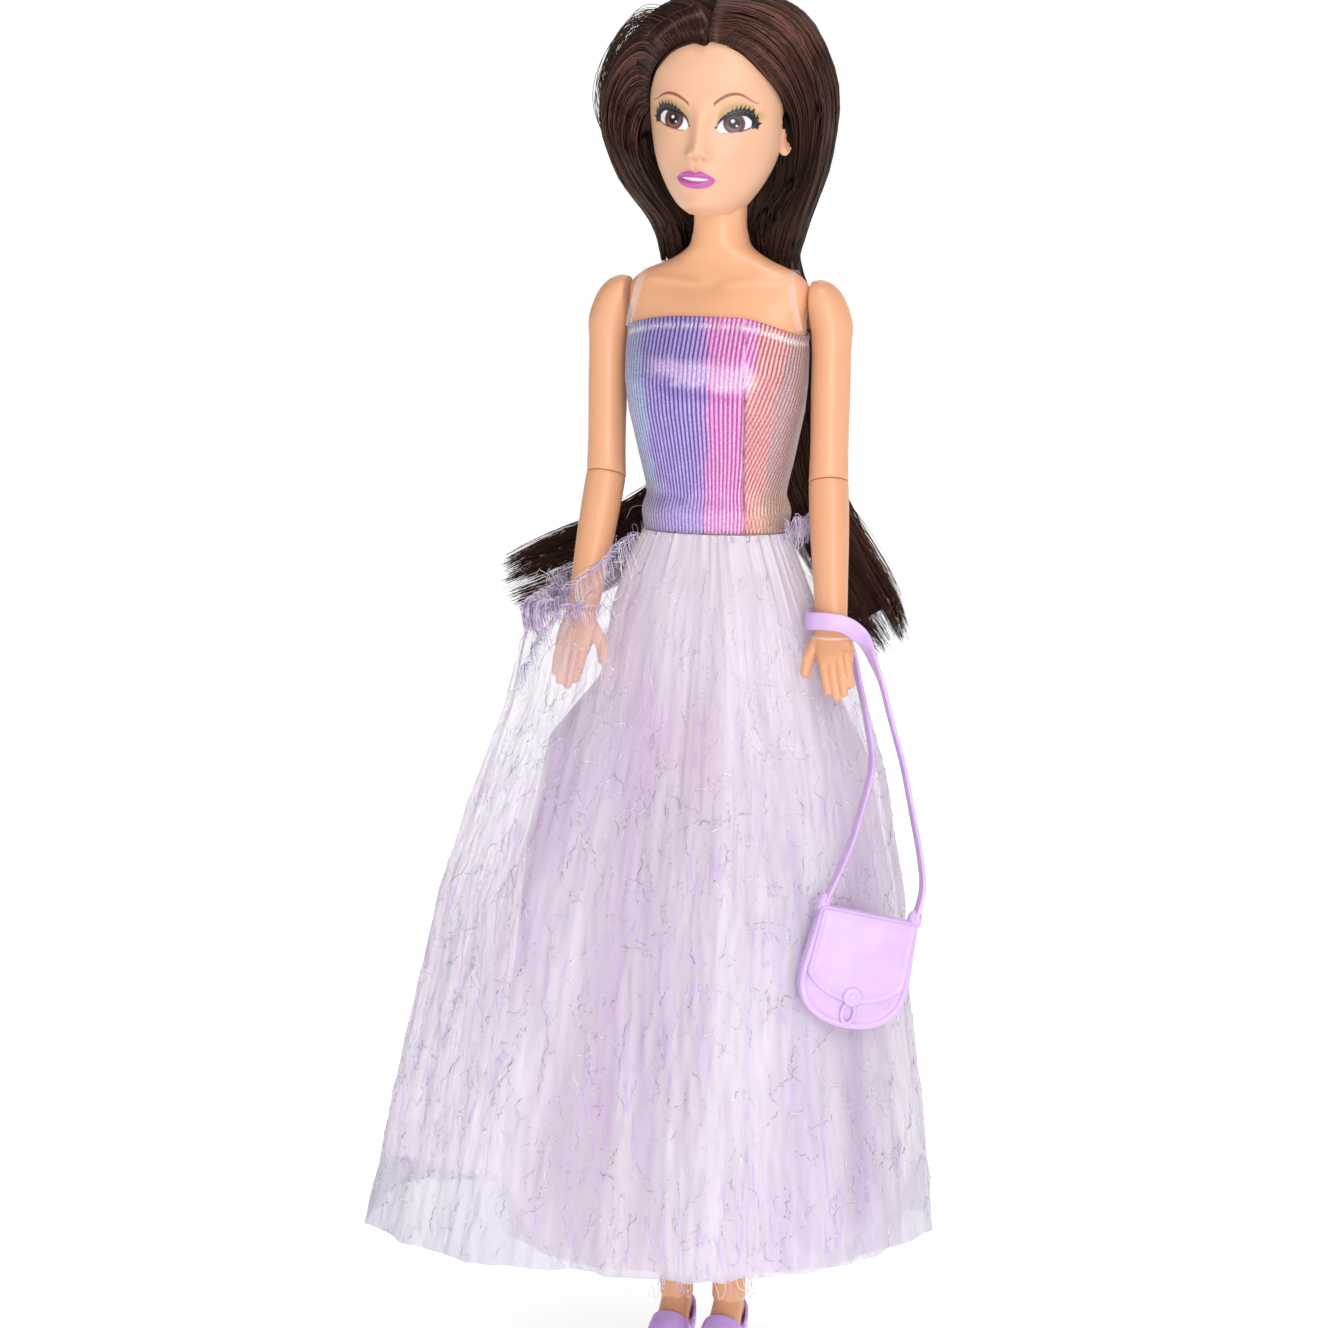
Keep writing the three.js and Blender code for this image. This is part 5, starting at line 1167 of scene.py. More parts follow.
# Cloth is laid out by even turns: equal steps of turn run equal lengths round the cloth. The table
# holds angles and the turns they stand for, both in radians.
def evenTurns(surface):
    fine = np.linspace(0, fullTurn, 200001)
    run = np.concatenate([[0], np.cumsum(np.linalg.norm(np.diff(surface(fine), axis=0), axis=1))])
    return fine, run / run[-1] * fullTurn


def viewAcross(points):  # mm to the right in the main view, which stands 17 degrees round
    return .956 * points[..., 0] + .292 * points[..., 1]


def angleAt(turns, turn):
    whole = np.floor(turn / fullTurn) * fullTurn
    return np.interp(turn - whole, turns[1], turns[0]) + whole


# Bodice: metallic ribbed knit. Each rib is a round ridge of the mesh, painted pale as a highlight,
# with a groove beside it painted dark as shade.
bodiceSet = {"bottom": 178.9, "top": 223.5, "dip": 3.2, "ribs": 106, "perRib": 6, "rows": 50,
             "ribHeight": 0.2, "grown": 0.56, "wall": 0.26}
ribLean = ([176, 184, 192, 204, 212, 222], [.6, .528, .36, 0, -.176, -.266])
# Colour bands from the doll's right to its left, by mm across the view
bodiceBands = [(-21, "#93acb0"), (-15.9, "#8fb6d6"), (-15.1, "#7a6acb"), (-10, "#7855c8"),
               (-5, "#8a5bc9"), (-2.2, "#c565c8"), (1.5, "#de70c4"), (4.9, "#e068b4"),
               (5.4, "#d4646e"), (10, "#dc868a"), (14, "#c69aa0"), (18, "#b8979a"), (21, "#b39a90")]


def bandColour(across):  # straight lines between the bands
    at = np.array([b[0] for b in bodiceBands], float)
    colours = np.stack([linear(b[1]) for b in bodiceBands])
    return np.stack([np.interp(across, at, colours[:, k]) for k in range(3)], -1)


def makeBodice():
    s = bodiceSet
    columns = s["ribs"] * s["perRib"]
    turn = ringAngles(columns)
    angle = angleAt(evenTurns(lambda a: torsoPoint(a, np.full(1, 200.0), 0)), turn)
    share = np.linspace(0, 1, s["rows"])[:, None]
    flat = torsoPoint(angle[None], np.full((1, 1), s["top"]), 0)
    dip = s["dip"] * np.minimum(1, np.abs(flat[..., 0]) / 19.6) ** 3 + 1.2 * smoothStep(
        6, 19, flat[..., 0])
    z = s["bottom"] + share * (s["top"] - dip - s["bottom"])
    body = torsoPoint(angle[None] + 0 * z, z, s["grown"])
    across = viewAcross(body)
    front = body[..., 1] < 1
    # Beyond the dart on the doll's left the ribs lean outwards as they rise: ribLean is their turn
    beyond = smoothStep(5.1, 5.7, across) * front * smoothStep(178, 183, z)
    lean = beyond * np.interp(z, ribLean[0], ribLean[1])
    rib = (turn[None] + lean) * s["ribs"] / fullTurn
    phase = np.abs((rib % 1) - .5) * 2  # 1 in the groove, 0 on the ridge
    ridge = np.sqrt(np.clip(1 - phase ** 2, 0, 1))
    dart = bump(across, 5.4 + 0 * z, .22) * front * smoothStep(181, 185, z) * (
        1 - smoothStep(208, 211, z))
    flare = .9 * bump(z, 183, 2.8)
    stitchLine = bump(z, s["top"] - dip - 1.6, .26)
    hem = smoothStep(s["top"] - dip - 1.5, s["top"] - dip - .8, z)
    grown = s["grown"] + s["ribHeight"] * (ridge - .5) * (1 - .3 * hem) - .22 * dart \
        - .14 * stitchLine + .1 * hem + flare
    outer = torsoPoint(angle[None] + 0 * z, z, grown)
    inner = torsoPoint(angle[None] + 0 * z, z, s["grown"] - s["wall"] + flare)
    rows = np.concatenate([outer, inner[::-1]])
    # Blotches where the film of colour shifts, and a painted sheen: a paler band across the bust
    blotch = softNoise(across * .55 + 40, z * .42, 61) * .6 \
        + softNoise(across * 1.6 + 40, z * 1.1, 62) * .4
    fine = softNoise(across * 2.9 + 40, z * 2.2, 63)
    wide = torsoSize(z)[0]
    across = across * (1 + (19.2 / (wide + .6) - 1) * smoothStep(4, 12, np.abs(across)))
    across = across + .9 * blotch * (np.abs(across - 5) > 1.6) - 2.6 * smoothStep(
        205, 221, z) * smoothStep(3, 6, across)
    base = bandColour(across)
    # Painted sheen: a pale band that slopes down across the bust, ragged at its edges
    line = 212.6 - .13 * (across + 10)
    thick = 1.5 + .85 * smoothStep(-12, -3, across) + 1.0 * blotch + .7 * fine
    sheen = smoothStep(thick + 1.1, thick - 1.0, np.abs(z - line)) * smoothStep(
        -15.5, -12, across) * (1 - smoothStep(4.5, 8, across)) * (.95 - .45 * phase) * front
    # Painted sheen: pale patches near the waist, violet and pink by the bands, with the grooves
    # less dark there
    waist = smoothStep(189, 183, z + 5 * blotch) * .6
    # Painted shade: a darker band just below the painted sheen, under the bust
    under = bump(z, line - 4.2, 1.3) * smoothStep(-14, -11, across) * (
        1 - smoothStep(2, 5, across)) * (.7 + .5 * blotch) * front
    for tone, cover in (
            ("#8f9a8e", .85 * bump(across, -17.5, 3.0) * smoothStep(192, 185, z) * front),
            ("#d8b07e", .8 * smoothStep(6, 9, across) * smoothStep(192, 184, z) * front),
            ("#4b2f86", .5 * under),
            ("#cdb0ea", waist * (across < -2.2) * (across > -15.4)),
            ("#eab4dc", waist * (across >= -2.2) * (across < 5.6)),
            ("#a783dc", .5 * smoothStep(.1, .6, blotch) * (across < -2.2))):
        base = over(base, linear(tone), cover)
    part = np.digitize(across, [-2.3, 5.7, 12])
    tones = lambda *colours: np.stack([linear(c) for c in colours])[part]
    grooveShadeTone = over(tones("#331c84", "#a92b90", "#a82f44", "#8b5a60"),
                      over(linear("#5d86ac"), linear("#5e6a60"), smoothStep(193, 186, z)),
                      smoothStep(-15.2, -16.2, across))
    # Painted highlight: the ridges are laid over with pale tones
    colour = over(base, tones("#d5c3f2", "#f8c4ea", "#f6c9c8", "#dcc3c2"),
                  .74 * smoothStep(.6, 1, ridge) * (1 - .5 * under))
    # Painted shade: the grooves are darkened, less near the waist and more in the band under the
    # bust
    dark = (1 - .6 * waist) * (.86 + .14 * under)
    colour = over(colour, grooveShadeTone, dark * smoothStep(.45, .85, phase))
    colour = over(colour, tones("#e6cbf6", "#f8cdf0", "#f6cfd0", "#e6cfc4"), np.minimum(sheen, .9))
    stitch = stitchLine * (np.abs((turn[None] * 66 / math.pi) % 1 - .5) < .34)
    colour = over(colour, linear("#fbf4fc"), stitch * 1.2) * (1 - .55 * dart)[..., None]
    # Painted shade: the inner face takes the outer colours at half strength
    paint = np.concatenate([colour, colour[::-1] * .5])
    made = skin(rows, paint=paint, loop=True)
    material, tree, surface = newMaterial("ribbedMetallicKnit", Metallic=0.3, Roughness=0.38,
                                          Sheen_Weight=0.25, Sheen_Roughness=0.4)
    loops = addNode(tree, "TexVoronoi", {"Vector": addNode(tree, "TexCoord", out="Object"),
                                         "Scale": 2400.0})  # 0.4 mm loops of lurex
    feed(surface, {"Base Color": scaledPaint(tree, remap(tree, loops, 0.1, 0.6, 1.22, 0.82)),
                   "Normal": relief(tree, loops, 0.35, 0.00012)})
    bodice = piece("bodiceKnit", made, material, "torso", ["bodice"])


makeBodice()
print("bodice")

# Hook-and-loop tape down the back of the bodice: how far its two faces stand off the torso, in mm
tapeSet = {"bottom": 176.9, "top": 221.8, "halfTurn": .165, "outer": 1.45, "inner": .95}


def makeTape():
    s = tapeSet
    z = np.linspace(s["bottom"], s["top"], 60)[:, None]
    angle = math.pi / 2 + np.linspace(-s["halfTurn"], s["halfTurn"], 25)[None]
    outer = torsoPoint(angle + 0 * z, z, s["outer"] + .08 * np.sin(z * 9))
    inner = torsoPoint(angle + 0 * z, z, s["inner"])
    rows = np.concatenate([outer, inner[:, ::-1]], axis=1)
    material, tree, surface = newMaterial("hookAndLoopTape", Roughness=0.95, Sheen_Weight=0.4)
    fuzz = objectNoise(tree, 3800.0, 3.0)
    feed(surface, {"Base Color": addNode(tree, "ValToRGB", {0: fuzz},
                                         stops=[(0.3, "#a99fb4"), (0.7, "#efe9f2")]),
                   "Normal": relief(tree, fuzz, 0.6, 0.0003)})
    tape = piece("closureTape", skin(rows, ends=True), material, "torso",
                 ["closure_tape"])


makeTape()

# Gown: reach of the cloth to the left, right, front and back at each share of the drop
gownSet = {"top": 178.7, "drop": 149.5, "side": 43.0, "depth": 34.0, "overlaySide": 60.0,
           "overlayDepth": 42.0, "hemRise": 5.0, "foldDepth": 1.3}
liningRows = [(0, .372, .372, .345, .345), (.05, .45, .47, .39, .38), (.11, .54, .54, .44, .43),
              (.21, .63, .6, .56, .5), (.3, .79, .86, .7, .57), (.45, .9, .98, .88, .66),
              (.68, .98, 1.05, 1.04, .74), (.85, 1, 1.07, 1.12, .76), (1, 1, 1.07, 1.17, .76)]
overlayRows = [(0, .29, .29, .315, .315), (.05, .35, .44, .345, .35), (.1, .41, .61, .42, .4),
               (.16, .49, .68, .5, .44), (.24, .56, .72, .56, .5), (.34, .64, .8, .68, .57),
               (.5, .71, .92, .82, .66), (.68, .74, 1.0, .93, .74), (.85, .79, 1.09, 1.0, .78),
               (1, .83, 1.16, 1.05, .8)]


# The CAD cloth's own surface, read between its rows by straight lines; inset moves it inwards.
def gownPoint(table, side, depth, share, angle, inset):
    rows = np.asarray(table)
    left, right, ahead, behind = (np.interp(share, rows[:, 0], rows[:, k]) for k in (1, 2, 3, 4))
    c, s = np.cos(angle), np.sin(angle)
    power = np.full(np.broadcast(c, share).shape, 2.1)
    if table is overlayRows:  # fuller in front of the right hand
        power = np.where((c < 0) & (s < 0), 4.4, power)
    across = squared(c, 2 / power)
    through = squared(s, 2 / power)
    ripple = np.cos(10 * angle + 1) * .6 + np.cos(14 * angle) * .4
    fold = gownSet["foldDepth"] * np.minimum(1, share * 3) * (ripple - 1) - inset
    x = across * (np.where(c > 0, left, right) * side + fold)
    y = through * (np.where(s > 0, behind, ahead) * depth + fold)
    z = gownSet["top"] - share * gownSet["drop"] + gownSet["hemRise"] * c * c * share ** 4
    return np.stack(np.broadcast_arrays(x, y, z), -1)


# Gathers: many small pleats at the waist that merge into fewer, deeper folds towards the hem.
def gathers(angle, share, seed, fine, wide):
    a = angle * fine / fullTurn
    sway = .5 * softNoise(angle * 6, share * 3, seed + 1, 38)
    small = softNoise((a + sway) % fine, share * 5 + 0 * a, seed, fine)
    b = angle * wide / fullTurn + .35 * softNoise(angle * 3, share * 2, seed + 3, 19)
    large = softNoise(b % wide, share * 1.4 + 0 * b, seed + 2, wide)
    ridgeSmall = 1 - np.abs(small) * 2
    return (ridgeSmall * (.55 * np.exp(-share * 5) + .16), large * smoothStep(.02, .5, share))


def makeLining():
    columns, rows = 640, 100
    angle = ringAngles(columns)[None]
    share = (np.linspace(0, 1, rows) ** 1.12)[:, None]
    small, large = gathers(angle, share, 41, 60, 22)
    inset = .95 - .5 * small - 1.25 * large * smoothStep(0, .12, share)
    points = gownPoint(liningRows, gownSet["side"], gownSet["depth"], share, angle, inset)
    # At the sides the lining hangs down level with the overlay
    points[..., 2] -= 3.4 * np.cos(angle) ** 2 * share ** 4
    crease = small * .5 + .5
    warm = bump((angle - 1.47 * math.pi), 0, .3) * smoothStep(.12, .3, share) * (
        1 - .4 * smoothStep(.7, 1, share))
    satin = linear("#f0e2f0") + 0 * points
    satin = over(satin, linear("#e2b4cf"), .8 * warm * (.7 + .5 * large))
    # Painted shade: lilac in the hollows of the large folds
    satin = over(satin, linear("#cbaadb"), .8 * np.clip(-large * 1.4, 0, 1))
    # Painted shade: darker in the creases of the small gathers and just under the waist
    satin = satin * ((.79 + .21 * crease) * (.88 + .12 * smoothStep(.04, .2, share)))[..., None]
    made = skin(points, paint=satin)
    # Polyester satin: long floats give a soft broad sheen that runs across the folds
    material, tree, surface = newMaterial("polyesterSatin", Roughness=0.27, Anisotropic=0.5,
                                          Specular_IOR_Level=0.9, Sheen_Weight=0.2,
                                          Sheen_Roughness=0.35)
    feed(surface, {"Base Color": paintOf(tree), "Tangent": flowTangent(tree),
                   "Normal": relief(tree, objectNoise(tree, 1500.0, 2.0), 0.15, 0.0001)})
    lining = piece("liningSatin", made, material, "torso", ["skirt_lining"])


makeLining()
print("lining")

# Overlay: sheer crinkled organza, open in a slit where the right forearm goes in.
overlaySet = {"columns": 660, "rows": 124, "slitMiddle": 1.04, "slitHalf": .22, "slitRamp": .06,
              "pocket": 14.4}


# How far down the cloth starts: a share of the drop inside the slit, ramped to none beside it
def slitShare(angle):
    away = np.abs((angle % fullTurn) - math.pi * overlaySet["slitMiddle"])
    half, ramp = math.pi * overlaySet["slitHalf"], math.pi * overlaySet["slitRamp"]
    return np.clip((half + ramp - away) / ramp, 0, 1) * overlaySet["pocket"] / gownSet["drop"]


overlayTurns = evenTurns(lambda a: gownPoint(overlayRows, gownSet["overlaySide"],
                                             gownSet["overlayDepth"], np.full(1, .6), a, 0))


def overlayPoint(turn, share, lift=0.0):
    angle = angleAt(overlayTurns, turn)
    start = slitShare(angle)
    at = start + (1 - start) * share
    small, large = gathers(turn, at, 71, 64, 26)
    crinkle = softNoise(turn * 26, at * 16, 77, 163) * .32 + softNoise(
        turn * 40, at * 30, 78, 251) * .16
    inset = .35 - .55 * small - 1.0 * large * smoothStep(0, .3, at) - crinkle * smoothStep(
        0, .06, at) - lift
    return gownPoint(overlayRows, gownSet["overlaySide"], gownSet["overlayDepth"], at, angle,
                     inset)


def makeOverlay():
    s = overlaySet
    angle = ringAngles(s["columns"])[None]
    share = (np.linspace(0, 1, s["rows"]) ** 1.1)[:, None]
    points = overlayPoint(angle, share + 0 * angle)
    points[..., 2] += .5 * softNoise(angle * 12, share * 0 + 2, 19, 75) * smoothStep(.93, 1, share)
    across = viewAcross(points)
    # Painted shade: in front, below the back hem's line, where only one layer hangs, the cloth is
    # painted greyer and denser, like the shaded back layer above it
    edge = np.interp(np.abs(across), [20, 30, 38, 42, 60], [.99, .965, .94, .88, .875])
    backLayerPaintedShade = smoothStep(edge - .008, edge + .008, share) * (points[..., 1] < 2)
    made = skin(points, paint=np.repeat(backLayerPaintedShade[..., None], 3, -1))
    # Organza: fine sheer weave that lets half the light through. Thin upright creases, drawn as
    # narrow bands of stretched noise, are denser, and lilac or grey by turns.
    material, tree, surface = newMaterial("crinkledOrganza", Roughness=0.4, Sheen_Weight=0.25,
                                          Sheen_Roughness=0.3)
    stretched = lambda across, down, detail: flowNoise(tree, across, down, detail,
                                                       Roughness=0.55, Distortion=0.5)

    def creases(noise, width):  # one where the noise passes through its middle value
        away = calc(tree, "ABSOLUTE", calc(tree, "SUBTRACT", noise, 0.5))
        return remap(tree, away, 0.0, width, 1.0, 0.0)

    lilac, grey, fold = stretched(62, 3, 3), stretched(110, 9, 2), stretched(30, 1.6, 2)
    lilacLine, greyLine = creases(lilac, 0.014), creases(grey, 0.012)
    # The painted shade of the missing back layer
    hem = paintOf(tree, "Fac")
    colour = addNode(tree, "ValToRGB", {0: fold}, stops=[(0.35, "#e4d3e9"), (0.65, "#ede6ef")])
    for share, tone in ((lilacLine, "#c9abdf"), (greyLine, "#b9b6cc"), (hem, "#cdc5d6")):
        colour = mixColour(tree, share, colour, rgba(tone))
    lines = calc(tree, "MULTIPLY", calc(tree, "MAXIMUM", lilacLine, greyLine), 0.22)
    dense = calc(tree, "ADD", remap(tree, fold, 0.3, 0.7, 0.3, 0.52), lines)
    drop = addNode(tree, "SeparateXYZ", {0: addNode(tree, "UVMap", uv_map="flow")}, 1)
    thin = remap(tree, drop, 0.02, 0.22, 0.4, 1.0)  # drawn thinner under the waist
    full = remap(tree, drop, 0.28, 0.6, 0.78, 1.45)  # and closer towards the hem
    cover = calc(tree, "MULTIPLY", dense, calc(tree, "MULTIPLY", thin, full))
    feed(surface, {"Base Color": colour, "Normal": relief(tree, lilac, 0.5, 0.0006),
                   "Alpha": calc(tree, "ADD", cover, calc(tree, "MULTIPLY", hem, 0.2))})
    return piece("overlayOrganza", made, material, "torso", ["skirt_overlay"])


# Tinsel: short silver threads that zigzag over the organza, most of them downwards. Each thread
# turns by a random kink at every step: direction = start + the sum of its kinks. Steps are painted
# white by turns as glints, and some grey as shaded facets; thickness changes from step to step.
tinselSet = {"runs": 2300, "steps": 11, "step": 0.6, "radius": 0.066, "seed": 7}


def makeTinsel():
    s, depth = tinselSet, 132  # the overlay's own depth below its slit, in mm
    rng = np.random.default_rng(s["seed"])
    n, steps = s["runs"], s["steps"]
    start, first = rng.uniform(0, fullTurn, n), rng.uniform(.01, .97, n) ** .8
    heading = rng.normal(0, .75, n)
    kinks = rng.choice([-1, 1], (n, steps)) * rng.uniform(.1, .95, (n, steps))
    turn = heading[:, None] + kinks + .25 * np.cumsum(rng.normal(0, .35, (n, steps)), axis=1)
    stride = s["step"] * rng.uniform(.35, 1.25, (n, 1))
    reach = 26 + 26 * first[:, None]  # the overlay's mean radius there, in mm
    share = np.clip(first[:, None] + np.cumsum(stride * np.cos(turn), 1) / depth, .001, .995)
    angle = start[:, None] + np.cumsum(stride * np.sin(turn), 1) / reach
    points = overlayPoint(angle, share, .14)
    t = np.linspace(0, 1, steps)[None]
    radius = s["radius"] * rng.uniform(.6, 1.35, (n, 1)) * (.4 + .6 * np.sin(
        np.clip(t, .03, .97) * math.pi) ** .5)
    tint = rng.choice(6, n, p=[.42, .13, .1, .1, .2, .05])[:, None] + 0 * kinks.astype(int)
    glintAndShadeDraw = rng.random((n, steps))
    tint = np.where(glintAndShadeDraw < .3, 0, np.where(glintAndShadeDraw > .86, 3 + 2 * (glintAndShadeDraw > .95), tint))
    radius = radius * np.where(tint == 0, 1.35, .8) * np.where(rng.random((n, steps)) < .2, .25, 1)
    colours = np.stack([linear(c) for c in ("#ffffff", "#f2ecff", "#ffeef8", "#a79cc0", "#c3aee0",
                                            "#7f7690")])[tint]
    return threads(points, radius, colours)


def tinselMaterial(name, metallic):
    material, tree, surface = newMaterial(name, Metallic=metallic, Roughness=0.25)
    feed(surface, {"Base Color": paintOf(tree)})
    return material


silverTinsel = tinselMaterial("silverTinsel", 0.45)
pearlThread = tinselMaterial("pearlThread", 0.0)


# Raw edges: loose threads at the waist and down both sides of the slit, and short ends at the hem.
# Each leaves its root outwards, rises or sinks along a half wave, and drifts sideways.
fringeGroups = [  # from, to (turns), count, share down (None = the cloth's edge), length, rise
    (0, 1, 120, .008, 2.2, .8), (.93, 1.06, 110, .006, 5.5, .9), (.37, .47, 120, .006, 5.5, .9),
    (.4, .5, 190, None, 9.0, .1), (.55, .66, 330, None, 9.0, .1), (.42, .62, 130, None, 4.2, .4),
    (.62, .72, 120, .1, 6.0, .1), (.755, .778, 10, .998, 4.2, -1), (.8, .824, 9, .998, 4.2, -1)]


def makeFringe():
    rng = np.random.default_rng(17)
    groups = []
    for low, high, count, shareAt, size, rise in fringeGroups:
        angle = rng.uniform(low, high, count) * fullTurn
        whole = np.floor(angle / fullTurn) * fullTurn
        turn = np.interp(angle - whole, overlayTurns[0], overlayTurns[1])
        base = np.zeros(count) if shareAt is None else np.full(count, shareAt)
        root = overlayPoint(turn, base, .1)
        out = unit(root * np.array([1, 1, 0]) + 1e-6)
        side = np.stack([-out[:, 1], out[:, 0], 0 * out[:, 0]], -1)
        t = np.linspace(0, 1, 12)[None, :, None]
        reach = size * rng.uniform(.3, 1.1, (count, 1, 1))
        sway = rng.normal(0, .5, (count, 1, 1))
        wave = np.sin(t * math.pi * rng.uniform(.5, 1.25, (count, 1, 1)))
        fall = -.8 * t * t if abs(rise) < .5 else 0 * t
        path = root[:, None] + out[:, None] * reach * (.42 * np.sin(t * math.pi * .7)) \
            + side[:, None] * (reach * (sway * t + .07 * np.sin(t * 14 + sway * 9))) \
            + np.array([0, 0, 1.0]) * reach * (rise * wave + fall)
        tint = np.stack([linear(c) for c in ("#fdfbff", "#dcc6ec", "#cbb0e2", "#f0e4f7")])
        groups.append(threads(path, np.full((count, 12), .068), tint[rng.integers(0, 4, count)]))
    return joined(groups)


overlay = makeOverlay()
piece("overlayTinsel", makeTinsel(), silverTinsel, "torso")
piece("overlayFringe", makeFringe(), pearlThread, "torso")
print("overlay and tinsel")

# Bag: soft moulded vinyl, drawn flat with x across, y up and z out of its front, then hung.
bagSet = {"place": (38.33, -26.56, 93.0), "turn": 28.0, "roll": -12.6, "width": 23.0,
          "drop": 69.6, "lug": 9.66, "lugHeight": 12.2, "ribbon": (1.8, .45)}
bagFrame = (Matrix.Translation(bagSet["place"])
            @ Matrix.Rotation(math.radians(bagSet["turn"]), 4, "Z")
            @ Matrix.Rotation(math.pi / 2, 4, "X")
            @ Matrix.Rotation(math.radians(bagSet["roll"]), 4, "Z"))


def hung(points):  # from the bag's flat drawing to where it hangs
    m = np.array(bagFrame)
    return np.asarray(points, float) @ m[:3, :3].T + m[:3, 3]


def bezier(a, b, c, d, n=40):  # a cubic from a to d that heads for b and comes in from c
    t = np.linspace(0, 1, n, endpoint=False)[:, None]
    a, b, c, d = (np.array(p, float) for p in (a, b, c, d))
    return a * (1 - t) ** 3 + 3 * b * t * (1 - t) ** 2 + 3 * c * t * t * (1 - t) + d * t ** 3


# Spaces an outline evenly and eases its corners over a window of about 1.5 mm.
def evenOutline(points, count=220, ease=4):
    points = np.vstack([points, points[:1]])
    run = np.concatenate([[0], np.cumsum(np.linalg.norm(np.diff(points, axis=0), axis=1))])
    at = np.arange(count) / count * run[-1]
    even = np.stack([np.interp(at, run, points[:, k]) for k in (0, 1)], -1)
    for _ in range(ease):
        even = (np.roll(even, 1, 0) + 2 * even + np.roll(even, -1, 0)) / 4
    return even


def straight(a, b, n=40):  # even steps from a to b
    t = np.linspace(0, 1, n, endpoint=False)[:, None]
    return np.array(a, float) * (1 - t) + np.array(b, float) * t


# The bag's outline: straight sides that lean in by taper towards the top, and below the bend one
# curve each side to the middle of the foot. knee and foot place the curve's handles.
def shield(half, taper, top, knee, foot):
    bend, lowest = -1.92, foot[1]
    kneeAt, footAt, rim = half * knee[0], half * foot[0], half * taper
    return evenOutline(np.vstack([
        straight((-rim, top), (-half, bend)),
        bezier((-half, bend), (-kneeAt, knee[1]), (-footAt, lowest), (0, lowest)),
        bezier((0, lowest), (footAt, lowest), (kneeAt, knee[1]), (half, bend)),
        straight((half, bend), (rim, top)), straight((rim, top), (-rim, top))]))


# A closed round hoop lying flat: its two radii, the wire's radius, and counts round and along.
def hoop(middle, wide, deep, wire, sides, count):
    a, b = ringAngles(count)[None], ringAngles(sides)[:, None]
    reach = wire * np.cos(b)
    return np.stack([middle[0] + (wide + reach) * np.cos(a), middle[1] + (deep + reach) * np.sin(a),
                     middle[2] + wire * np.sin(b) + 0 * a], -1)


# A plate seen from the front: rows of (inset, height), closed by a fan at each face. An inset
# scales each axis about the middle by 1 - inset / half, so corners stay whole.
def plate(outline, profile, dome=0.0):
    low, high = outline.min(0), outline.max(0)
    middle, half = (low + high) / 2, (high - low) / 2
    rows = []
    for inset, height in profile:
        flat = middle + (outline - middle) * np.maximum(.04, 1 - inset / half)
        reach = np.linalg.norm(flat - middle, axis=1) / half.max()
        rows.append(np.column_stack([flat, height + dome * np.clip(1 - reach ** 2, 0, 1)
                                     * np.sign(height)]))
    return skin(hung(np.array(rows)), ends=True)


def makeBag():
    front = [(9, 1.4), (6, 1.4), (3, 1.38), (2.1, 1.36), (1.6, 1.36), (1.3, 1.5), (1.1, 1.78),
             (.75, 1.84), (.4, 1.78), (.12, 1.55), (0, 1.2)]
    back = [(i, -h) for i, h in front[::-1]]
    parts = [plate(shield(11.5, .9, 12.0, (1, -9.6), (.5, -12.0)),
                   front + [(0, .4), (0, -.4)] + back, .12)]
    rise = [(9, 2.32), (6, 2.32), (3, 2.3), (2.1, 2.28), (1.5, 2.26), (1.2, 2.13), (1.0, 2.13),
            (.75, 2.3), (.4, 2.3), (.12, 2.14), (0, 1.9), (0, 1.0), (3, .9), (9, .9)]
    parts.append(plate(shield(10.35, .96, 11.4, (.8, -4.8), (.4, -6.72)), rise, .2))
    a = ringAngles(80)
    oval = lambda x, y, rx, ry: np.stack([x + rx * np.cos(a), y + ry * np.sin(a)], -1)
    tab = [(1.2, 2.98), (.8, 2.98), (.4, 2.92), (.15, 2.78), (0, 2.5), (0, 1.6), (1.2, 1.5)]
    parts.append(plate(oval(0, -5.28, 2.07, 2.04), tab))
    parts.append(plate(oval(0, -5.28, .8, .8), [(.5, 3.2), (.2, 3.16), (0, 3.0), (0, 2.5),
                                               (.5, 2.4)]))
    parts.append(skin(hung(hoop((0, -8.75, 1.85), 1.28, 2.15, .46, 20, 80)), loop=True))
    # Soft vinyl: cloudy lilac with a satin skin and faint mould grain
    material, tree, surface = newMaterial("lilacVinyl", Roughness=0.36, Coat_Weight=0.15,
                                          Coat_Roughness=0.3, Subsurface_Weight=0.1,
                                          Subsurface_Scale=0.001)
    feed(surface, {"Base Color": addNode(tree, "ValToRGB", {0: objectNoise(tree, 160.0, 3.0)},
                                         stops=[(0.3, "#d3b0e7"), (0.7, "#dcbded")]),
                   "Normal": relief(tree, objectNoise(tree, 1800.0, 2.0), 0.12, 0.0001)})
    piece("bagShell", joined(parts), material, "bag", ["bag_body"])
    return material


lilacVinyl = makeBag()

# Strap: a flat moulded ribbon, broad across the wrist and edge on beside the skirt. Each row is
# sideways and forward in bag widths, up in drops to the bag, all from the wrist, and its turn.
strapRows = [(.28, -.76, -.73, 1), (.36, -.54, -.63, 1), (.4, -.4, -.55, 1), (.44, -.19, -.42, 1),
             (.34, 0, -.3, 1), (.23, .14, -.2, .8), (.12, .24, -.1, .5), (-.03, .28, -.03, .2),
             (-.17, .19, -.01, 0), (-.215, 0, -.005, 0), (-.16, -.17, -.005, 0), (.02, -.26, 0, 0),
             (.19, -.22, -.01, 0), (.33, -.15, -.05, .3), (.42, -.1, -.12, .6),
             (.49, -.08, -.18, .9), (.58, -.1, -.28, 1), (.72, -.16, -.42, 1),
             (.84, -.24, -.57, 1), (.93, -.34, -.67, 1),
             (.98, -.42, -.77, 1)]


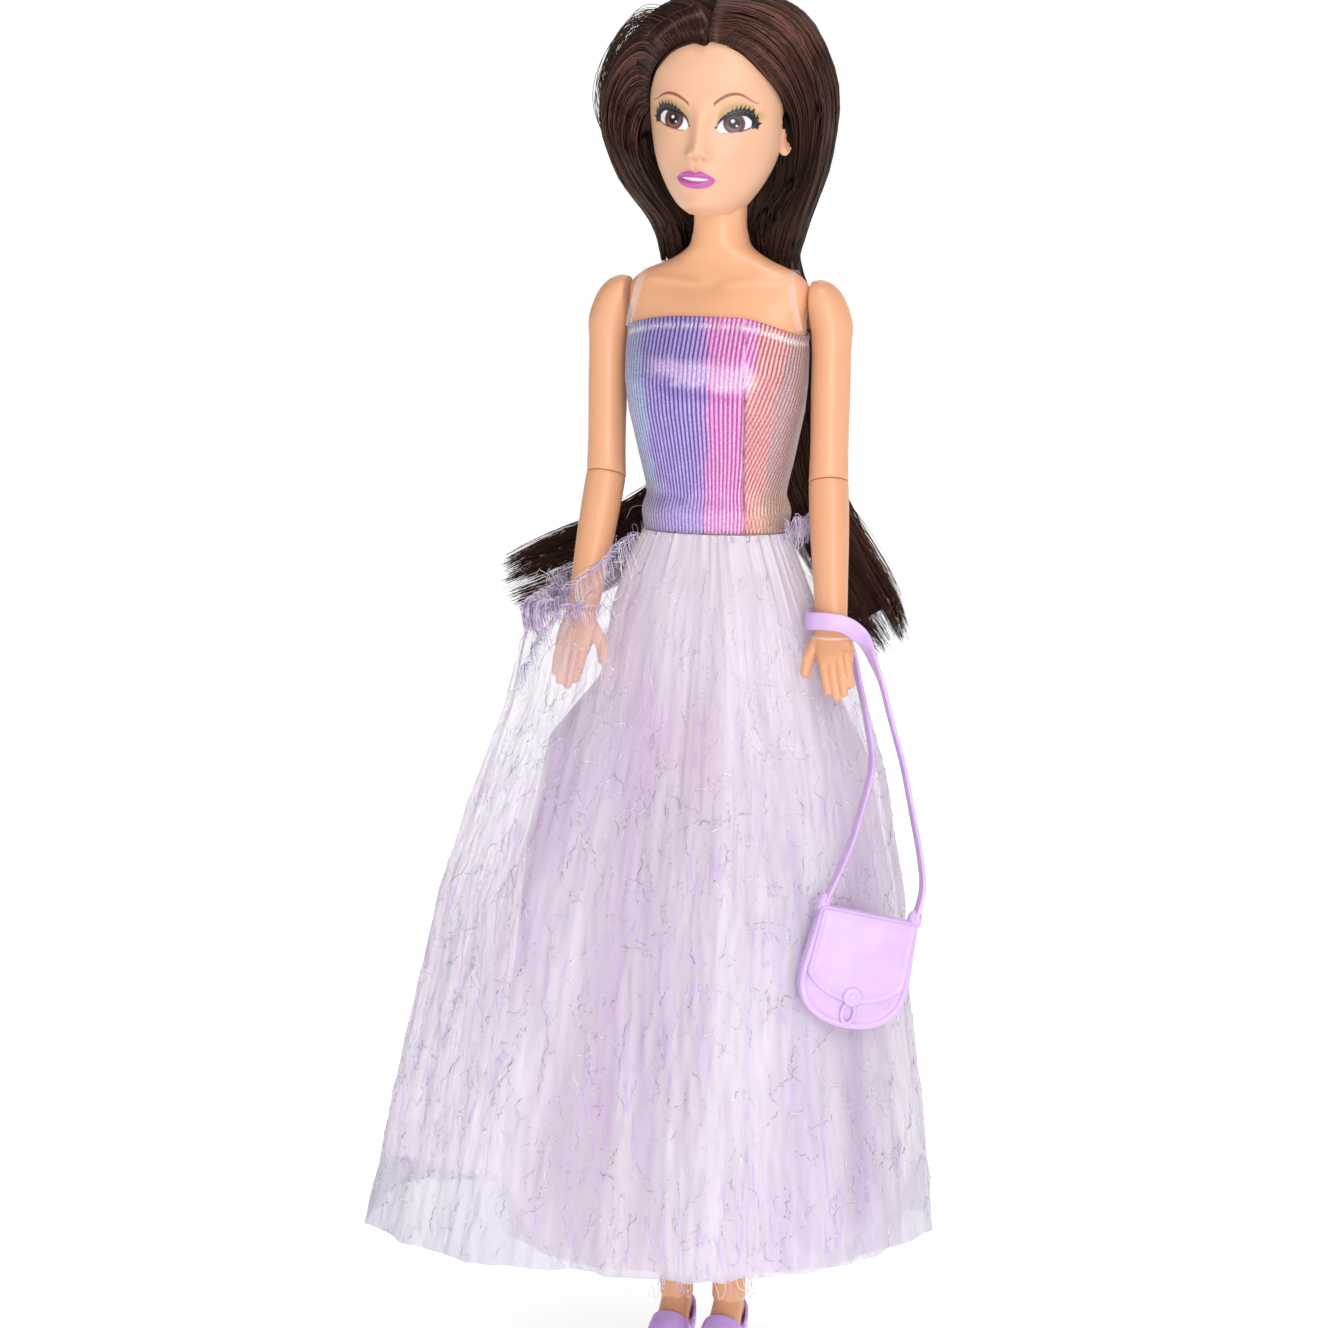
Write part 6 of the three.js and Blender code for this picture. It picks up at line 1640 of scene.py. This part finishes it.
# A centripetal curve through points: each span bends by the square root of its chord.
def spline(points, perSpan):
    p = np.vstack([2 * points[0] - points[1], points, 2 * points[-1] - points[-2]])
    out = []
    for i in range(1, len(p) - 2):
        d = [max(np.linalg.norm(p[k + 1] - p[k]) ** .5, 1e-4) for k in (i - 1, i, i + 1)]
        before, here, after = p[i] - p[i - 1], p[i + 1] - p[i], p[i + 2] - p[i + 1]
        a = before / d[0] - (p[i + 1] - p[i - 1]) / (d[0] + d[1]) + here / d[1]
        b = here / d[1] - (p[i + 2] - p[i]) / (d[1] + d[2]) + after / d[2]
        a, b = a * d[1], b * d[1]
        t = (np.arange(perSpan) / perSpan)[:, None]
        out.append(p[i] + a * t + (3 * (p[i + 1] - p[i]) - 2 * a - b) * t ** 2
                   + (2 * (p[i] - p[i + 1]) + a + b) * t ** 3)
    return np.vstack(out + [points[-1:]])


def makeStrap():
    wrist = np.array(armSet["wrist"][1])
    width, lug, height = bagSet["width"], bagSet["lug"], bagSet["lugHeight"]
    route = wrist + np.array(strapRows)[:, :3] * (width, width, bagSet["drop"])
    corners = hung([(-lug, height, 0), (lug, height, 0)])
    route = np.vstack([corners[:1], route, corners[1:]])
    turns = np.array([1] + [r[3] for r in strapRows] + [1], float)
    middles = spline(route, 12)
    turn = np.interp(np.linspace(0, len(turns) - 1, len(middles)), np.arange(len(turns)), turns)
    for _ in range(6):
        turn = np.convolve(np.pad(turn, 1, "edge"), [.25, .5, .25], "valid")
    along = unit(np.gradient(middles, axis=0))
    lean = math.radians(bagSet["turn"])
    outwards = np.array([math.sin(lean), -math.cos(lean), 0])
    broad = np.array([0, 0, 1.0]) * (1 - turn[:, None]) + outwards * turn[:, None]
    broad = unit(broad - along * (broad * along).sum(1, keepdims=True))
    thin = np.cross(along, broad)
    a = ringAngles(28)
    c = squared(np.cos(a), .5) * bagSet["ribbon"][0]
    s = squared(np.sin(a), .5) * bagSet["ribbon"][1]
    rows = middles[:, None] + broad[:, None] * c[None, :, None] + thin[:, None] * s[None, :, None]
    strap = piece("bagStrap", skin(rows, ends=True), lilacVinyl, None,
                  ["bag_strap"])
    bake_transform(strap)
    knobs = [capsule(hung([(x, 12.9, 0), (x, 11.6, 0)]), [1.5, 1.5], 6, 20) for x in (-lug, lug)]
    piece("strapKnobs", joined(knobs), lilacVinyl, "bag")


makeStrap()
print("bag and strap")

# Clear elastic: a loop round the wrist and a flat strap over each shoulder, in mm
loopSet = {"beyond": 3.96, "radius": 4.69, "wire": .3}
elasticSet = {"low": 220.6, "rise": 11.4, "aside": 18.3, "inwards": 2.6, "off": .5, "arch": .9,
              "halfWidth": .85, "halfThick": .2}
clearPlastic = newMaterial("clearPolyurethane", Roughness=0.1, IOR=1.5, Alpha=0.15, Coat_Weight=1.0,
                           Coat_Roughness=0.05, Base_Color=rgba("#fbfafd"))[0]


def makeLoop():
    shoulder, elbow, wrist, line, reach, across = armLines(1)
    r = loopSet["radius"]
    ring = hoop(wrist + reach * loopSet["beyond"], r, r, loopSet["wire"], 14, 90)
    piece("wristLoop", skin(ring, loop=True), clearPlastic, "forearm_left",
          ["wrist_loop"])


def makeShoulderStrap(side):
    s, power = elasticSet, torsoSet["power"]
    label = sideName[side]
    up = np.linspace(0, 1, 30) ** .8
    z = s["low"] + up * s["rise"]
    x = s["aside"] - s["inwards"] * up
    wide, deep, back = torsoSize(z)
    across = np.clip(x / (wide + s["off"]), 0, .985)
    reachY = (deep + s["off"]) * (1 - across ** power) ** (1 / power)
    ahead = np.stack([side * x, back - reachY, z], -1)
    behind = np.stack([side * x, back + reachY, z], -1)[::-1]
    t = np.linspace(0, 1, 14)[1:-1, None]
    arch = ahead[-1] * (1 - t) + behind[0] * t
    arch[:, 2] += s["arch"] * np.sin(t[:, 0] * math.pi)
    middles = np.vstack([ahead, arch, behind])
    for _ in range(8):
        middles[1:-1] = (middles[:-2] + 2 * middles[1:-1] + middles[2:]) / 4
    wide, thick = (np.full(len(middles), s[k]) for k in ("halfWidth", "halfThick"))
    rows = limbRows(middles, wide, thick, 24, 4.5)
    piece("shoulderStrap" + label.title(), skin(rows, ends=True), clearPlastic, "torso",
          ["shoulder_strap_" + label])


makeLoop()
for side in (1, -1):
    makeShoulderStrap(side)

# Sandals: glossy moulded plastic, with a heel, a broad band over the instep and a heel counter
glossyPurple, purpleTree, purpleSurface = newMaterial(
    "glossyPurplePlastic", Roughness=0.2, Coat_Weight=0.4, Coat_Roughness=0.08,
    Subsurface_Weight=0.08, Subsurface_Scale=0.001)
feed(purpleSurface, {"Base Color": addNode(
    purpleTree, "ValToRGB", {0: objectNoise(purpleTree, 220.0, 2.0)},
    stops=[(0.3, "#d6abf8"), (0.7, "#e2befc")])})
# By mm ahead of the ankle: height of the sole's top, of its underside, and its half width
soleTop = [(-4.6, 11.9), (2.4, 10.95), (7.2, 7.4), (13.2, 3.16), (18, 2.78), (22.6, 2.4)]
soleUnder = [(-4.6, 9.2), (1.6, 7.4), (6, 4.0), (11.2, .15), (16, 0), (22.6, .1)]
solePlan = [(-4.6, 1.6), (-3.9, 2.6), (-2, 3.5), (6, 3.48), (12, 4.2), (16, 4.7), (19.5, 4.1),
            (21.6, 2.9), (22.6, 1.2)]


def makeShoe(side):
    label = sideName[side]
    x0, y0 = side * legSet["ankle"][0], legSet["ankle"][1]
    f = np.linspace(-4.6, 22.6, 90)
    top, under = readTable(soleTop, f)[:, 0], np.maximum(readTable(soleUnder, f)[:, 0], 0)
    half = np.maximum(readTable(solePlan, f)[:, 0], .4)
    a = ringAngles(48)
    c = squared(np.cos(a), .34)
    s = squared(np.sin(a), .34)
    middle, thick = (top + under) / 2, (top - under) / 2
    rows = np.stack([x0 + half[:, None] * c, y0 - f[:, None] + 0 * c,
                     middle[:, None] + thick[:, None] * s], -1)
    parts = [skin(rows, ends=True)]
    h = np.linspace(0, 1, 40)[:, None]
    length, wide = 1.75 + 1.5 * h ** 2.4, 1.95 + 1.35 * h ** 2.2
    centre = y0 + 2.3 - 1.3 * h ** 2
    k = squared(np.cos(a), .7), squared(np.sin(a), .7)
    heel = np.stack([x0 + wide * k[0], centre + length * k[1], h * 10.2 + 0 * k[0]], -1)
    parts.append(skin(heel, ends=True))
    # Band: the foot's own section grown outwards, from 0.2 to 0.5 of the foot's length
    share = np.linspace(.2, .5, 34)
    middles, wide, deep = footPath((x0, y0), share)
    swell = .34 + .72 * np.sin(np.linspace(.16, 1, 34) * math.pi * .92) ** .3
    walls = [limbRows(middles, wide + g, deep + g, 60) for g in (swell, np.full(34, .3))]
    for wall in walls:
        wall[..., 2] = np.maximum(wall[..., 2], .4)
    parts.append(skin(np.concatenate([walls[0], walls[1][::-1]]), loop=True))
    # Counter: a cup behind the heel whose rim is highest at the back
    turn = np.linspace(-1.75, 1.75, 46)
    rim = 16.4 - 4.6 * (np.abs(turn) / 1.75) ** 2.4
    up = np.linspace(0, 1, 20)[:, None]
    z = 9.6 + up * (rim[None] - 9.6)
    lean = 1 - .16 * ((z - 12.5) / 5) ** 2
    outer, inner = [np.stack([x0 + (3.2 + g) * lean * np.sin(turn)[None],
                              -4.0 + (3.75 + g) * lean * np.cos(turn)[None], z], -1)
                    for g in (.85, .25)]
    cup = np.concatenate([outer, inner[::-1]])
    parts.append(skin(cup.transpose(1, 0, 2), ends=True))
    piece("sandal" + label.title(), joined(parts), glossyPurple, "shin_" + label,
          ["shoe_" + label])


for side in (1, -1):
    makeShoe(side)
print("straps and sandals")

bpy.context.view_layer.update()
